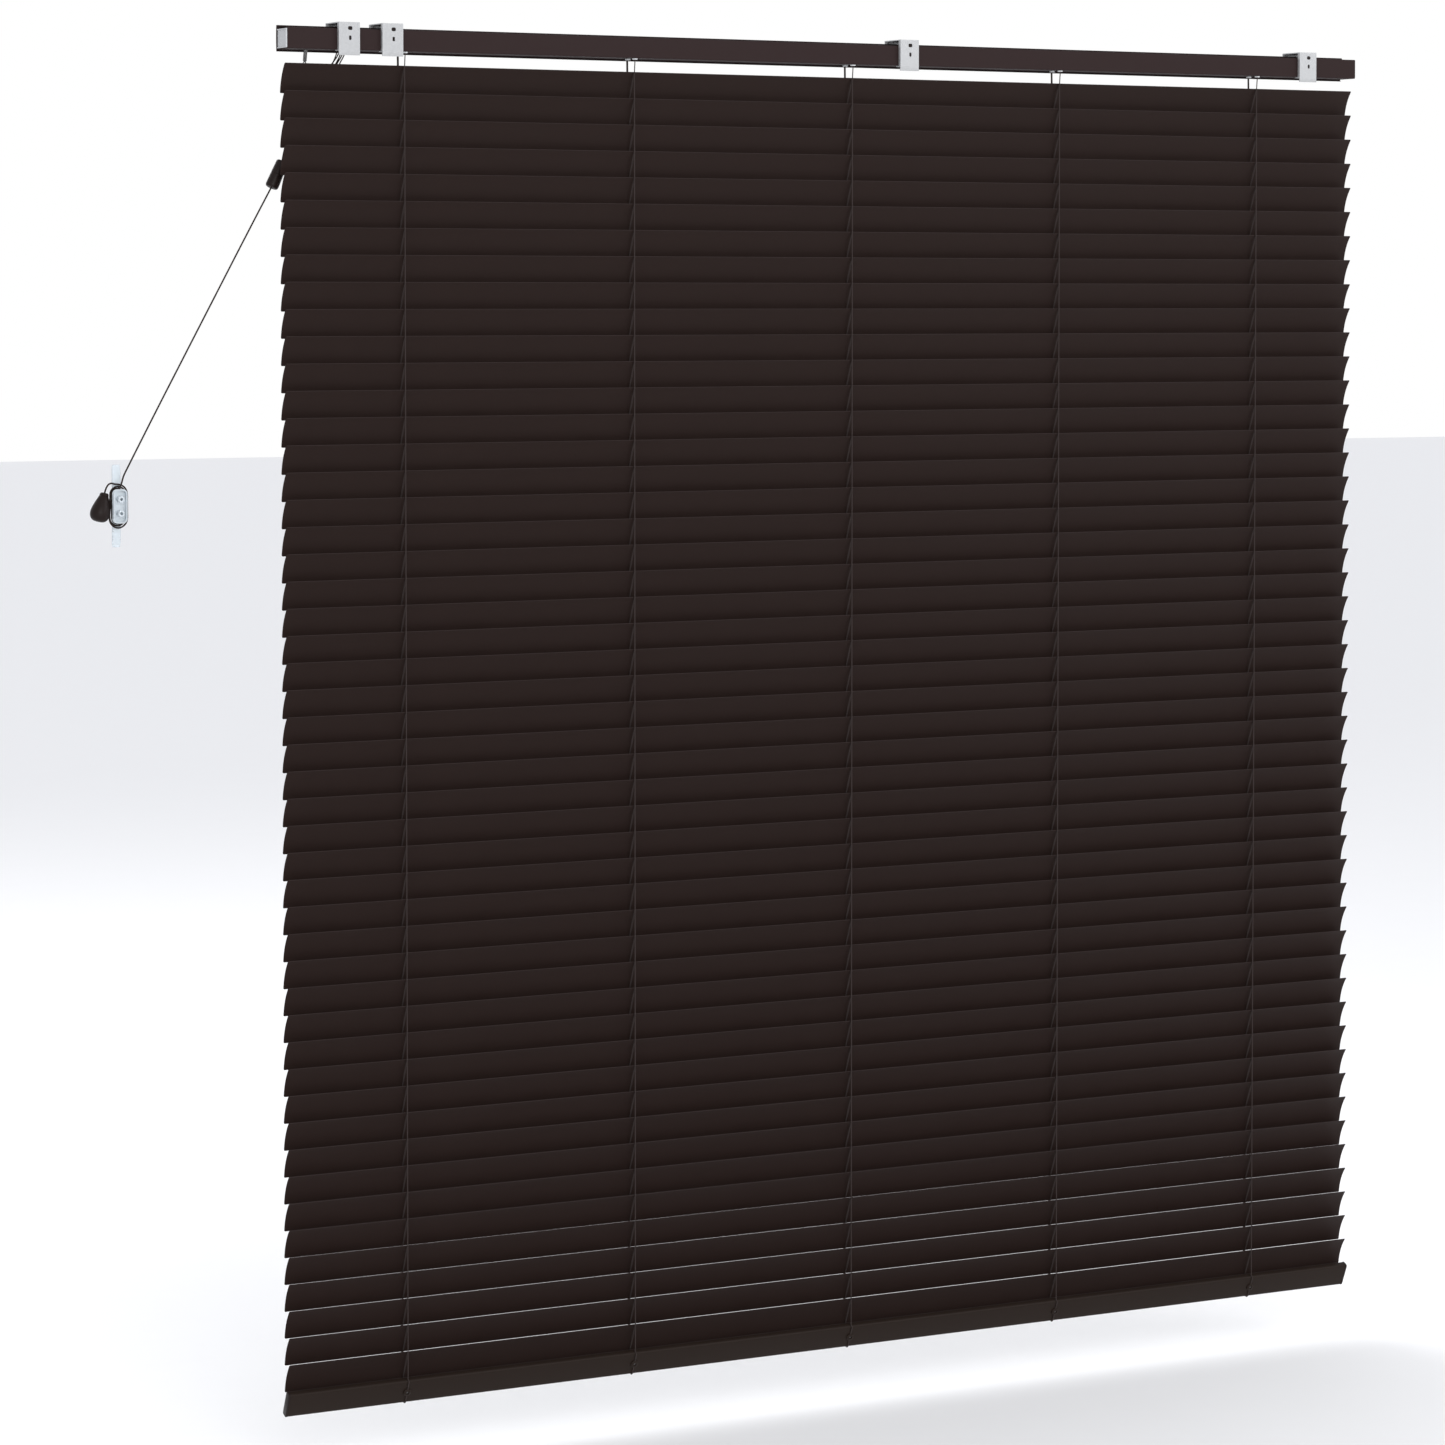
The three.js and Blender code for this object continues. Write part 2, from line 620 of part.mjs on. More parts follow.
function winding() {
  const inner = { width: CLEAT_NECK.width + 2 * TOUCH_GAP, height: CLEAT_NECK.height + 2 * TOUCH_GAP };
  const outer = { width: inner.width + 2 * WINDING_DEPTH, height: inner.height + 4 * WINDING_DEPTH };
  const ring = moved(roundedBox(outer.width, outer.height, outer.width / 2 - 0.01), CLEAT.x, CLEAT.z);
  const hole = moved(roundedBox(inner.width, inner.height, CLEAT_NECK.corner), CLEAT.x, CLEAT.z);
  ring.holes.push(new THREE.Path(hole.getPoints(2).reverse()));
  return alongY(ring, CLEAT.flange_y - TOUCH_GAP, CLEAT.horn_y + TOUCH_GAP);
}

piece("cord_winding", geometryOf(solid(winding())), FINISH.cord());

// ---------------------------------------------------------------- tassel on the cord's tail

function tassel() {
  const quarter = [0, 1, 2, 3].map((step) => (step / 3) * (Math.PI / 2));
  const base = quarter.map((angle) => [
    TASSEL.base_radius - TASSEL.base_rounding * (1 - Math.sin(angle)),
    TASSEL.base_rounding * (1 - Math.cos(angle)) - TASSEL.length,
  ]);
  const profile = [
    [0, -TASSEL.length],
    ...base,
    [TASSEL.top_radius, -TASSEL.top_rounding],
    [TASSEL.top_radius - TASSEL.top_rounding, 0],
    [0, 0],
  ];
  const points = profile.map(([radius, height]) => new THREE.Vector2(radius, height));
  const body = new THREE.LatheGeometry(points, ROUND);
  const turn = new THREE.Matrix4().makeRotationX(Math.PI / 2);
  const tilt = new THREE.Matrix4().makeRotationY(-THREE.MathUtils.degToRad(TASSEL.lean_deg));
  body.applyMatrix4(turn).applyMatrix4(tilt).translate(...TASSEL.top);
  return join([body, cordAlong(TAIL_ROUTE, TAIL_DIAMETER, 12)]);
}

piece("cord_tassel", geometryOf(tassel()), FINISH.dark());

export default assembly;
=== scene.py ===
"""A venetian blind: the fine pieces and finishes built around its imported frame.

Metres. +X runs along the blind to its tilter, lock and cleat, -Y faces the room, +Z is up.
"""

import json
import logging
import math
from collections.abc import Callable, Sequence
from dataclasses import dataclass, field
from enum import Enum

import bmesh
import bpy
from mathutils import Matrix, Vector


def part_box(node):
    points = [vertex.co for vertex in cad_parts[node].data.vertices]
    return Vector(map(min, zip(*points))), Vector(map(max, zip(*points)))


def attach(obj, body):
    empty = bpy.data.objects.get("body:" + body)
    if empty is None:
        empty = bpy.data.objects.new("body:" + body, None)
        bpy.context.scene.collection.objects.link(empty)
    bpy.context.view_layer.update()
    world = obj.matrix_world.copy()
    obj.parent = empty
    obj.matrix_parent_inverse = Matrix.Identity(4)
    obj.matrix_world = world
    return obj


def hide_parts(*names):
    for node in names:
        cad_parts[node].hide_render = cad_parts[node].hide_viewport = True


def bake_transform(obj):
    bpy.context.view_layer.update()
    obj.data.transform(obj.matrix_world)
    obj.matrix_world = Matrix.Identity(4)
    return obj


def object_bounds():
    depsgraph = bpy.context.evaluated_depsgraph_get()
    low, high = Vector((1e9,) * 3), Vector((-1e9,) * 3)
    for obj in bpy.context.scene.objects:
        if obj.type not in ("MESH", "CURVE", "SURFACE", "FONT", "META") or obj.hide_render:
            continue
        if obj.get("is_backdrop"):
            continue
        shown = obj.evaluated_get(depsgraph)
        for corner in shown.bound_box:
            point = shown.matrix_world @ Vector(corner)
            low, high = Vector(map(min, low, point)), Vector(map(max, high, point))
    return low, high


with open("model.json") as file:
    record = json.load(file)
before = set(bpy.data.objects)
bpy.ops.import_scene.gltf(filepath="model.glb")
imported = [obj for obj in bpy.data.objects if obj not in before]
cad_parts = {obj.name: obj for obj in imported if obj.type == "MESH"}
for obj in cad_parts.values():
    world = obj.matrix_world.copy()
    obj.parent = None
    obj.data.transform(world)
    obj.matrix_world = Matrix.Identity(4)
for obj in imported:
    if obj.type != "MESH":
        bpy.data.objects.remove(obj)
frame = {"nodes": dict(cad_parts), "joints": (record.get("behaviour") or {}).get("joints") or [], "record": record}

CAD_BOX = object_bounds()
TURN = 2 * math.pi
ALONG_X, UP, TO_ROOM = Vector((1, 0, 0)), Vector((0, 0, 1)), Vector((0, -1, 0))
CUT_PAST = 0.001
log = logging.getLogger("venetian_blind")

Ring = list[Vector]
Outline = list[tuple[float, float]]
Corner = tuple[float, float, float]


# ------------------------------------------------------------------ the camera, the light and the floor


@dataclass(frozen=True)
class Studio:
    """The camera, the soft light and the pale floor around the blind."""

    camera_at: tuple[float, float, float] = (2.6281, 4.5069, -0.2829)
    heading_deg: float = 28.56
    dip_deg: float = 2.2237
    lens_mm: float = 113.908
    sensor_mm: float = 36.0
    shift_up: float = -0.168
    floor_drop: float = 0.06
    floor_half: float = 30.0
    sky: tuple[float, float, float] = (0.95, 0.96, 1.0)
    sky_light: float = 0.92
    lamps: tuple[tuple[str, tuple[float, float, float], float, float], ...] = (
        ("key", (2.0, 4.8, 0.6), 3.2, 105.0),
        ("fill", (-2.6, 3.4, 1.2), 2.8, 60.0),
        ("room", (0.6, -3.6, 2.2), 2.6, 60.0),
    )

    def camera(self) -> None:
        """Makes the camera and sets it as the scene's own."""
        data = bpy.data.cameras.new("camera")
        data.lens = self.lens_mm
        data.sensor_width = self.sensor_mm
        data.shift_y = self.shift_up
        data.clip_end = 100.0
        made = bpy.data.objects.new("camera", data)
        made.location = self.camera_at
        looks_down = math.radians(90.0 - self.dip_deg)
        made.rotation_euler = (looks_down, 0.0, math.radians(180.0 - self.heading_deg))
        bpy.context.scene.collection.objects.link(made)
        bpy.context.scene.camera = made

    def lights(self) -> None:
        """Makes the white surround and three large soft lamps."""
        world = bpy.data.worlds.new("studio")
        world.use_nodes = True
        bpy.context.scene.world = world
        tree = world.node_tree
        tree.nodes.clear()
        out = tree.nodes.new("ShaderNodeOutputWorld")
        mix = tree.nodes.new("ShaderNodeMixShader")
        path = tree.nodes.new("ShaderNodeLightPath")
        shown = (((*self.sky, 1), self.sky_light), ((1, 1, 1, 1), 1.0))
        for slot, (colour, strength) in enumerate(shown):
            light = tree.nodes.new("ShaderNodeBackground")
            light.inputs["Color"].default_value = colour
            light.inputs["Strength"].default_value = strength
            tree.links.new(light.outputs[0], mix.inputs[slot + 1])
        tree.links.new(path.outputs["Is Camera Ray"], mix.inputs[0])
        tree.links.new(mix.outputs[0], out.inputs["Surface"])
        for name, at, size, watts in self.lamps:
            self.lamp(name, at, size, watts)

    def lamp(self, name: str, at: tuple[float, float, float], size: float, watts: float) -> None:
        """Makes one square lamp that looks at the middle of the blind.

        Args:
            name: the lamp's name.
            at: where it stands.
            size: its side.
            watts: its power.
        """
        data = bpy.data.lights.new(name, "AREA")
        data.size = size
        data.energy = watts
        made = bpy.data.objects.new(name, data)
        made.location = at
        middle = (CAD_BOX[0] + CAD_BOX[1]) / 2
        made.rotation_euler = (middle - Vector(at)).to_track_quat("-Z", "Y").to_euler()
        bpy.context.scene.collection.objects.link(made)

    def floor(self) -> None:
        """Lays the pale floor under the blind."""
        low = CAD_BOX[0].z - self.floor_drop
        half = self.floor_half
        shape = Shape()
        shape.points = [Vector((x * half, y * half, low)) for x, y in ((-1, -1), (1, -1), (1, 1), (-1, 1))]
        shape.faces = [(0, 1, 2, 3)]
        shape.made("floor", FLOOR_PAINT)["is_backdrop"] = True


# ------------------------------------------------------------------ shared shader effects


class Effect(Enum):
    """The shader groups that several finishes use."""

    GRAIN = "surface_grain"
    SPANGLE = "metal_spangle"
    BRAID = "cord_braid"


class Sheet:
    """A node tree and short ways to fill it."""

    def __init__(self, tree: bpy.types.NodeTree) -> None:
        """Keeps the tree that the nodes go into."""
        self.tree = tree

    def node(self, kind: str, values: dict | None = None, **settings: object) -> bpy.types.Node:
        """Adds a node.

        Args:
            kind: the node's type.
            values: what goes into its inputs: another node's output, or a plain value.
            settings: the node's own properties.

        Returns:
            The new node.
        """
        made = self.tree.nodes.new(kind)
        for key, value in settings.items():
            setattr(made, key, value)
        for key, value in (values or {}).items():
            if isinstance(value, bpy.types.NodeSocket):
                self.tree.links.new(value, made.inputs[key])
            else:
                made.inputs[key].default_value = value
        return made

    def math(self, operation: str, first: object, second: object = 0.0) -> bpy.types.NodeSocket:
        """Adds a math node and gives back its output."""
        return self.node("ShaderNodeMath", {0: first, 1: second}, operation=operation).outputs[0]

    def mix(self, share: object, first: object, second: object) -> bpy.types.NodeSocket:
        """Adds a colour mix and gives back its output."""
        made = self.node("ShaderNodeMix", {0: share, 6: first, 7: second}, data_type="RGBA")
        return made.outputs[2]

    def between(self, value: object, low: object, high: object) -> bpy.types.NodeSocket:
        """Takes a value from 0 to 1 to the range from low to high."""
        return self.node("ShaderNodeMapRange", {0: value, 3: low, 4: high}).outputs[0]


FINISH_OUT = (("Color", "NodeSocketColor"), ("Roughness", "NodeSocketFloat"), ("Height", "NodeSocketFloat"))
FINISH_IN = (
    ("Color", "NodeSocketColor", (0.5, 0.5, 0.5, 1.0)),
    ("Roughness", "NodeSocketFloat", 0.5),
    ("Variation", "NodeSocketFloat", 0.1),
    ("Scale", "NodeSocketFloat", 100.0),
)


def new_group(effect: Effect) -> Sheet:
    """Starts a shader group with the named sockets that every finish shares.

    Args:
        effect: the group's name.

    Returns:
        The group's sheet.
    """
    tree = bpy.data.node_groups.new(effect.value, "ShaderNodeTree")
    for name, kind, value in FINISH_IN:
        socket = tree.interface.new_socket(name=name, in_out="INPUT", socket_type=kind)
        socket.default_value = value
    for name, kind in FINISH_OUT:
        tree.interface.new_socket(name=name, in_out="OUTPUT", socket_type=kind)
    return Sheet(tree)


def toned(sheet: Sheet, group_in: bpy.types.Node, share: bpy.types.NodeSocket) -> bpy.types.NodeSocket:
    """The base colour, darker and lighter by the group's variation.

    Args:
        sheet: the group's sheet.
        group_in: its input node.
        share: 0 where the colour is darkest and 1 where it is lightest.

    Returns:
        The colour.
    """
    variation = group_in.outputs["Variation"]
    low = sheet.math("SUBTRACT", 1.0, variation)
    high = sheet.math("ADD", 1.0, variation)
    values = {0: group_in.outputs["Color"], "Scale": sheet.between(share, low, high)}
    return sheet.node("ShaderNodeVectorMath", values, operation="SCALE").outputs[0]


def weighed(
    sheet: Sheet, first: bpy.types.NodeSocket, second: bpy.types.NodeSocket, share: float
) -> bpy.types.NodeSocket:
    """Two values added up.

    Args:
        sheet: the group's sheet.
        first: the one value.
        second: the other value.
        share: how much of the first there is; the second has the rest.

    Returns:
        The sum.
    """
    parts = [sheet.math("MULTIPLY", first, share), sheet.math("MULTIPLY", second, round(1 - share, 6))]
    return sheet.math("ADD", *parts)


def roughened(
    sheet: Sheet, group_in: bpy.types.Node, share: bpy.types.NodeSocket, reach: float
) -> bpy.types.NodeSocket:
    """The base roughness, more and less over the surface.

    Args:
        sheet: the group's sheet.
        group_in: its input node.
        share: 0 where the surface is smoothest and 1 where it is roughest.
        reach: how far apart those two are.

    Returns:
        The roughness.
    """
    off = sheet.math("MULTIPLY", sheet.math("SUBTRACT", share, 0.5), reach)
    return sheet.math("ADD", group_in.outputs["Roughness"], off)


def surface_grain() -> bpy.types.NodeTree:
    """A sprayed or moulded skin: soft blotches, a fine orange peel and faint streaks along the piece.

    Returns:
        The group's node tree.
    """
    sheet = new_group(Effect.GRAIN)
    group_in = sheet.node("NodeGroupInput")
    place = sheet.node("ShaderNodeTexCoord").outputs["Object"]
    scale = group_in.outputs["Scale"]
    fine = sheet.node("ShaderNodeTexNoise", {"Vector": place, "Scale": scale, "Detail": 4.0}).outputs["Fac"]
    coarse_scale = sheet.math("MULTIPLY", scale, 0.04)
    coarse = sheet.node("ShaderNodeTexNoise", {"Vector": place, "Scale": coarse_scale, "Detail": 3.0})
    stretched = sheet.node("ShaderNodeMapping", {"Vector": place, "Scale": (0.01, 1.0, 1.0)}).outputs[0]
    streak = sheet.node("ShaderNodeTexNoise", {"Vector": stretched, "Scale": scale, "Detail": 2.0})
    blotch = weighed(sheet, coarse.outputs["Fac"], streak.outputs["Fac"], 0.6)
    colour = toned(sheet, group_in, blotch)
    rough = roughened(sheet, group_in, blotch, 0.25)
    sheet.node("NodeGroupOutput", {"Color": colour, "Roughness": rough, "Height": fine})
    return sheet.tree


def metal_spangle() -> bpy.types.NodeTree:
    """Zinc or drawn steel: crystal patches that differ in tone and gloss, with fine scratches.

    Returns:
        The group's node tree.
    """
    sheet = new_group(Effect.SPANGLE)
    group_in = sheet.node("NodeGroupInput")
    place = sheet.node("ShaderNodeTexCoord").outputs["Object"]
    scale = group_in.outputs["Scale"]
    patch = sheet.node("ShaderNodeTexVoronoi", {"Vector": place, "Scale": scale}).outputs["Color"]
    tone = sheet.node("ShaderNodeSeparateColor", {0: patch}).outputs[0]
    stretched = sheet.node("ShaderNodeMapping", {"Vector": place, "Scale": (0.02, 1.0, 1.0)}).outputs[0]
    scratch_scale = sheet.math("MULTIPLY", scale, 12.0)
    scratch = sheet.node("ShaderNodeTexNoise", {"Vector": stretched, "Scale": scratch_scale}).outputs["Fac"]
    share = weighed(sheet, tone, scratch, 0.6)
    colour = toned(sheet, group_in, share)
    rough = roughened(sheet, group_in, share, 0.3)
    sheet.node("NodeGroupOutput", {"Color": colour, "Roughness": rough, "Height": scratch})
    return sheet.tree


YARNS_AROUND = 4.0
YARN_FUZZ_SCALE = 2500.0


def cord_braid() -> bpy.types.NodeTree:
    """A round braid: two families of yarns that wind round the cord both ways; its colour is darker where they
    dip, as painted shade, with a random fuzz in the tone.

    Returns:
        The group's node tree.
    """
    sheet = new_group(Effect.BRAID)
    group_in = sheet.node("NodeGroupInput")
    place = sheet.node("ShaderNodeUVMap", uv_map="UVMap").outputs[0]
    split = sheet.node("ShaderNodeSeparateXYZ", {0: place})
    along = sheet.math("MULTIPLY", split.outputs[0], group_in.outputs["Scale"])
    around = sheet.math("MULTIPLY", split.outputs[1], YARNS_AROUND)
    waves = []
    for operation in ("ADD", "SUBTRACT"):
        turns = sheet.math(operation, along, around)
        waves.append(sheet.math("SINE", sheet.math("MULTIPLY", turns, TURN)))
    crossing = sheet.math("MAXIMUM", waves[0], waves[1])
    height = sheet.between(crossing, 0.0, 1.0)
    spot = sheet.node("ShaderNodeTexCoord").outputs["Object"]
    fuzz = sheet.node("ShaderNodeTexNoise", {"Vector": spot, "Scale": YARN_FUZZ_SCALE}).outputs["Fac"]
    # The colour follows the yarn height, painted shade in the dips, mixed with a random fuzz tone.
    share = weighed(sheet, height, fuzz, 0.65)
    colour = toned(sheet, group_in, share)
    rough = sheet.math("ADD", group_in.outputs["Roughness"], sheet.math("MULTIPLY", fuzz, 0.1))
    sheet.node("NodeGroupOutput", {"Color": colour, "Roughness": rough, "Height": share})
    return sheet.tree


GROUP_MAKERS: dict[Effect, Callable[[], bpy.types.NodeTree]] = {
    Effect.GRAIN: surface_grain,
    Effect.SPANGLE: metal_spangle,
    Effect.BRAID: cord_braid,
}


def group_of(effect: Effect) -> bpy.types.NodeTree:
    """The shader group of an effect, built the first time that a finish asks for it."""
    return bpy.data.node_groups.get(effect.value) or GROUP_MAKERS[effect]()


# ------------------------------------------------------------------ finishes


@dataclass(frozen=True)
class Finish:
    """A finish: one shader with one effect group on its colour, roughness and relief."""

    name: str
    colour: tuple[float, float, float]
    roughness: float = 0.4
    grain: float = 0.08
    scale: float = 400.0
    relief: float = 0.00002
    metallic: float = 0.0
    specular: float = 0.5
    sheen: float = 0.0
    transmission: float = 0.0
    ior: float = 1.5
    effect: Effect = Effect.GRAIN

    def material(self) -> bpy.types.Material:
        """The finish's material, built once.

        Returns:
            The material.
        """
        found = bpy.data.materials.get(self.name)
        if found:
            return found
        made = bpy.data.materials.new(self.name)
        made.use_nodes = True
        made.diffuse_color = (*self.colour, 1.0)
        sheet = Sheet(made.node_tree)
        shader = made.node_tree.nodes["Principled BSDF"]
        group = sheet.node("ShaderNodeGroup", node_tree=group_of(self.effect))
        group.inputs["Color"].default_value = (*self.colour, 1.0)
        group.inputs["Roughness"].default_value = self.roughness
        group.inputs["Variation"].default_value = self.grain
        group.inputs["Scale"].default_value = self.scale
        bump = sheet.node("ShaderNodeBump", {"Height": group.outputs["Height"], "Distance": self.relief})
        link = made.node_tree.links.new
        link(group.outputs["Color"], shader.inputs["Base Color"])
        link(group.outputs["Roughness"], shader.inputs["Roughness"])
        link(bump.outputs[0], shader.inputs["Normal"])
        shader.inputs["Metallic"].default_value = self.metallic
        shader.inputs["Specular IOR Level"].default_value = self.specular
        shader.inputs["Sheen Weight"].default_value = self.sheen
        shader.inputs["Transmission Weight"].default_value = self.transmission
        shader.inputs["IOR"].default_value = self.ior
        return made


@dataclass(frozen=True)
class Plain(Finish):
    """A matt or satin skin with no metal in it."""


@dataclass(frozen=True)
class Metal(Finish):
    """Bare or plated metal."""

    metallic: float = 1.0
    effect: Effect = Effect.SPANGLE


@dataclass(frozen=True)
class Braid(Finish):
    """Braided polyester cord; its scale is the yarn crossings in a metre."""

    roughness: float = 0.8
    grain: float = 0.45
    relief: float = 0.00015
    scale: float = 700.0
    specular: float = 0.2
    sheen: float = 0.15
    effect: Effect = Effect.BRAID


FLOOR_PAINT = Plain("floor", (0.93, 0.93, 0.93), roughness=0.9, grain=0.01)
# The hems' finish is lighter than the slat lacquer: a painted highlight along both edges of every slat.
SLAT_EDGE_HIGHLIGHT = Plain("slat_edge_painted_highlight", (0.0300, 0.0215, 0.0200), 0.45, 0.10, 900.0, specular=0.08)
SLAT_LACQUER = Plain("slat_lacquer", (0.0172, 0.0102, 0.0086), 0.45, 0.10, 900.0, specular=0.08)
RAIL_ENAMEL = Plain("rail_enamel", (0.0234, 0.0140, 0.0137), 0.68, 0.08, 700.0, specular=0.10)
BOTTOM_ENAMEL = Plain("bottom_rail_enamel", (0.0165, 0.0105, 0.0078), 0.50, 0.08, 700.0, specular=0.10)
ZINC = Metal("zinc_plate", (0.40, 0.405, 0.41), 0.50, 0.08, 500.0, metallic=0.45)
ROD_STEEL = Metal("rod_steel", (0.50, 0.50, 0.51), 0.30, 0.06, 300.0)
CLEAR = Plain("clear_moulding", (0.80, 0.86, 0.90), 0.22, 0.03, 300.0, transmission=0.75, ior=1.49)
SMOKED = Plain("smoked_moulding", (0.16, 0.155, 0.15), 0.25, 0.03, 300.0, transmission=0.35, ior=1.49)
CLEAT_RESIN = Plain("cleat_resin", (0.66, 0.72, 0.76), 0.30, 0.04, 300.0, transmission=0.35, ior=1.49)
PALE_PLASTIC = Plain("pale_plastic", (0.42, 0.43, 0.44), 0.45, 0.05, 500.0)
LIGHT_STRIP = Plain("cap_strip", (0.60, 0.61, 0.62), 0.40, 0.04, 500.0)
BROWN_PLASTIC = Plain("brown_plastic", (0.0120, 0.0075, 0.0065), 0.40, 0.08, 500.0, specular=0.12)
INNER_PLASTIC = Plain("inner_plastic", (0.055, 0.052, 0.050), 0.5, 0.08, 500.0)
LADDER_BRAID = Braid("ladder_braid", (0.036, 0.027, 0.025), specular=0.1, sheen=0.04)
CORD_BRAID = Braid("pull_cord_braid", (0.022, 0.016, 0.014), scale=520.0, specular=0.1, sheen=0.04)


# ------------------------------------------------------------------ meshes


class Shape:
    """Points and faces of one piece, before it becomes an object."""

    def __init__(self) -> None:
        """Starts with nothing."""
        self.points: Ring = []
        self.faces: list[tuple[int, ...]] = []
        self.uvs: dict[int, list[tuple[float, float]]] = {}

    def loft(self, rings: Sequence[Ring], along: Sequence[float] | None = None) -> "Shape":
        """Joins closed rings of the same count into one closed skin.

        Args:
            rings: the rings in order.
            along: each ring's distance along the piece, which goes into the UV map.

        Returns:
            The shape itself.
        """
        start, count = len(self.points), len(rings[0])
        for ring in rings:
            self.points.extend(ring)
        for row in range(len(rings) - 1):
            for k in range(count):
                a, b = start + row * count + k, start + row * count + (k + 1) % count
                if along:
                    near, far, left, right = along[row], along[row + 1], k / count, (k + 1) / count
                    self.uvs[len(self.faces)] = [(near, left), (near, right), (far, right), (far, left)]
                self.faces.append((a, b, b + count, a + count))
        last = start + (len(rings) - 1) * count
        self.faces.append(tuple(range(start + count - 1, start - 1, -1)))
        self.faces.append(tuple(range(last, last + count)))
        return self

    def tube(self, path: Sequence[Vector], radius: float | Sequence[float], sides: int = 10) -> "Shape":
        """A round tube along a path, with the distance along it in its UV map.

        Args:
            path: the centreline.
            radius: one radius, or one for each point.
            sides: how many sides the section has.

        Returns:
            The shape itself.
        """
        radii = [radius] * len(path) if isinstance(radius, float) else list(radius)
        tangents = [
            (path[min(i + 1, len(path) - 1)] - path[max(i - 1, 0)]).normalized() for i in range(len(path))
        ]
        normal = tangents[0].orthogonal().normalized()
        rings, along = [], [0.0]
        for i, point in enumerate(path):
            if i:
                normal = tangents[i - 1].rotation_difference(tangents[i]) @ normal
                along.append(along[-1] + (point - path[i - 1]).length)
            side = tangents[i].cross(normal)
            rings.append([
                point + radii[i] * (math.cos(TURN * k / sides) * normal + math.sin(TURN * k / sides) * side)
                for k in range(sides)
            ])
        return self.loft(rings, along)

    def turned(self, profile: Outline, at: Vector, axis: Vector, sides: int = 24) -> "Shape":
        """A profile turned round an axis.

        Args:
            profile: radius and height of each point, in order along the axis.
            at: where the axis starts.
            axis: its direction.
            sides: how many sides the section has.

        Returns:
            The shape itself.
        """
        up = axis.normalized()
        first = up.orthogonal().normalized()
        second = up.cross(first)
        rings = [
            [
                at + up * height + max(radius, 1e-6) * (
                    math.cos(TURN * k / sides) * first + math.sin(TURN * k / sides) * second
                )
                for k in range(sides)
            ]
            for radius, height in profile
        ]
        return self.loft(rings)

    def bar(
        self, radius: float, low: float, high: float, at: Vector, ahead: Vector, sides: int = 24
    ) -> "Shape":
        """A straight round bar between two distances along a direction."""
        return self.turned([(radius, low), (radius, high)], at, ahead, sides)

    def along_x(self, outline: Outline, low: float, high: float) -> "Shape":
        """An outline of (y, z) points pushed along X."""
        return self.loft([[Vector((x, y, z)) for y, z in outline] for x in (low, high)])

    def box(self, low: Sequence[float], high: Sequence[float]) -> "Shape":
        """A plain box, as the start of a carved or bevelled piece."""
        corners = [(low[0], low[1]), (high[0], low[1]), (high[0], high[1]), (low[0], high[1])]
        return self.loft([[Vector((x, y, z)) for x, y in corners] for z in (low[2], high[2])])

    def mesh(self, name: str) -> bpy.types.Mesh:
        """The shape's mesh with its UV map.

        Args:
            name: the mesh's name.

        Returns:
            The mesh.
        """
        mesh = bpy.data.meshes.new(name)
        mesh.from_pydata(self.points, [], self.faces)
        layer = mesh.uv_layers.new(name="UVMap").data
        for index, corners in self.uvs.items():
            for loop, uv in zip(mesh.polygons[index].loop_indices, corners, strict=True):
                layer[loop].uv = uv
        return mesh

    def made(self, name: str, finish: Finish, sharp_deg: float = 40.0) -> bpy.types.Object:
        """Makes the piece.

        Args:
            name: the piece's name.
            finish: what it is finished in.
            sharp_deg: edges over this angle stay sharp.

        Returns:
            The piece, which rides on nothing yet.
        """
        return placed(name, self.mesh(name), finish, sharp_deg)


def placed(name: str, mesh: bpy.types.Mesh, finish: Finish, sharp_deg: float = 40.0) -> bpy.types.Object:
    """Makes an object of a mesh, smooth apart from its sharp edges.

    Args:
        name: the piece's name.
        mesh: its mesh.
        finish: what it is finished in.
        sharp_deg: edges over this angle stay sharp.

    Returns:
        The piece.
    """
    made = bpy.data.objects.new(name, mesh)
    bpy.context.scene.collection.objects.link(made)
    mesh.materials.clear()
    mesh.materials.append(finish.material())
    outward(mesh)
    smoothed(mesh, sharp_deg)
    return made


def smoothed(mesh: bpy.types.Mesh, sharp_deg: float) -> None:
    """Shades a mesh smooth, apart from its edges over an angle."""
    mesh.shade_smooth()
    mesh.set_sharp_from_angle(angle=math.radians(sharp_deg))


def outward(mesh: bpy.types.Mesh) -> None:
    """Turns a mesh's faces to the outside.

    Args:
        mesh: the mesh, which is changed.
    """
    work = bmesh.new()
    work.from_mesh(mesh)
    bmesh.ops.recalc_face_normals(work, faces=work.faces)
    work.to_mesh(mesh)
    work.free()


BEVEL_SEGMENTS = 2
BEVEL_OVER_DEG = 35.0


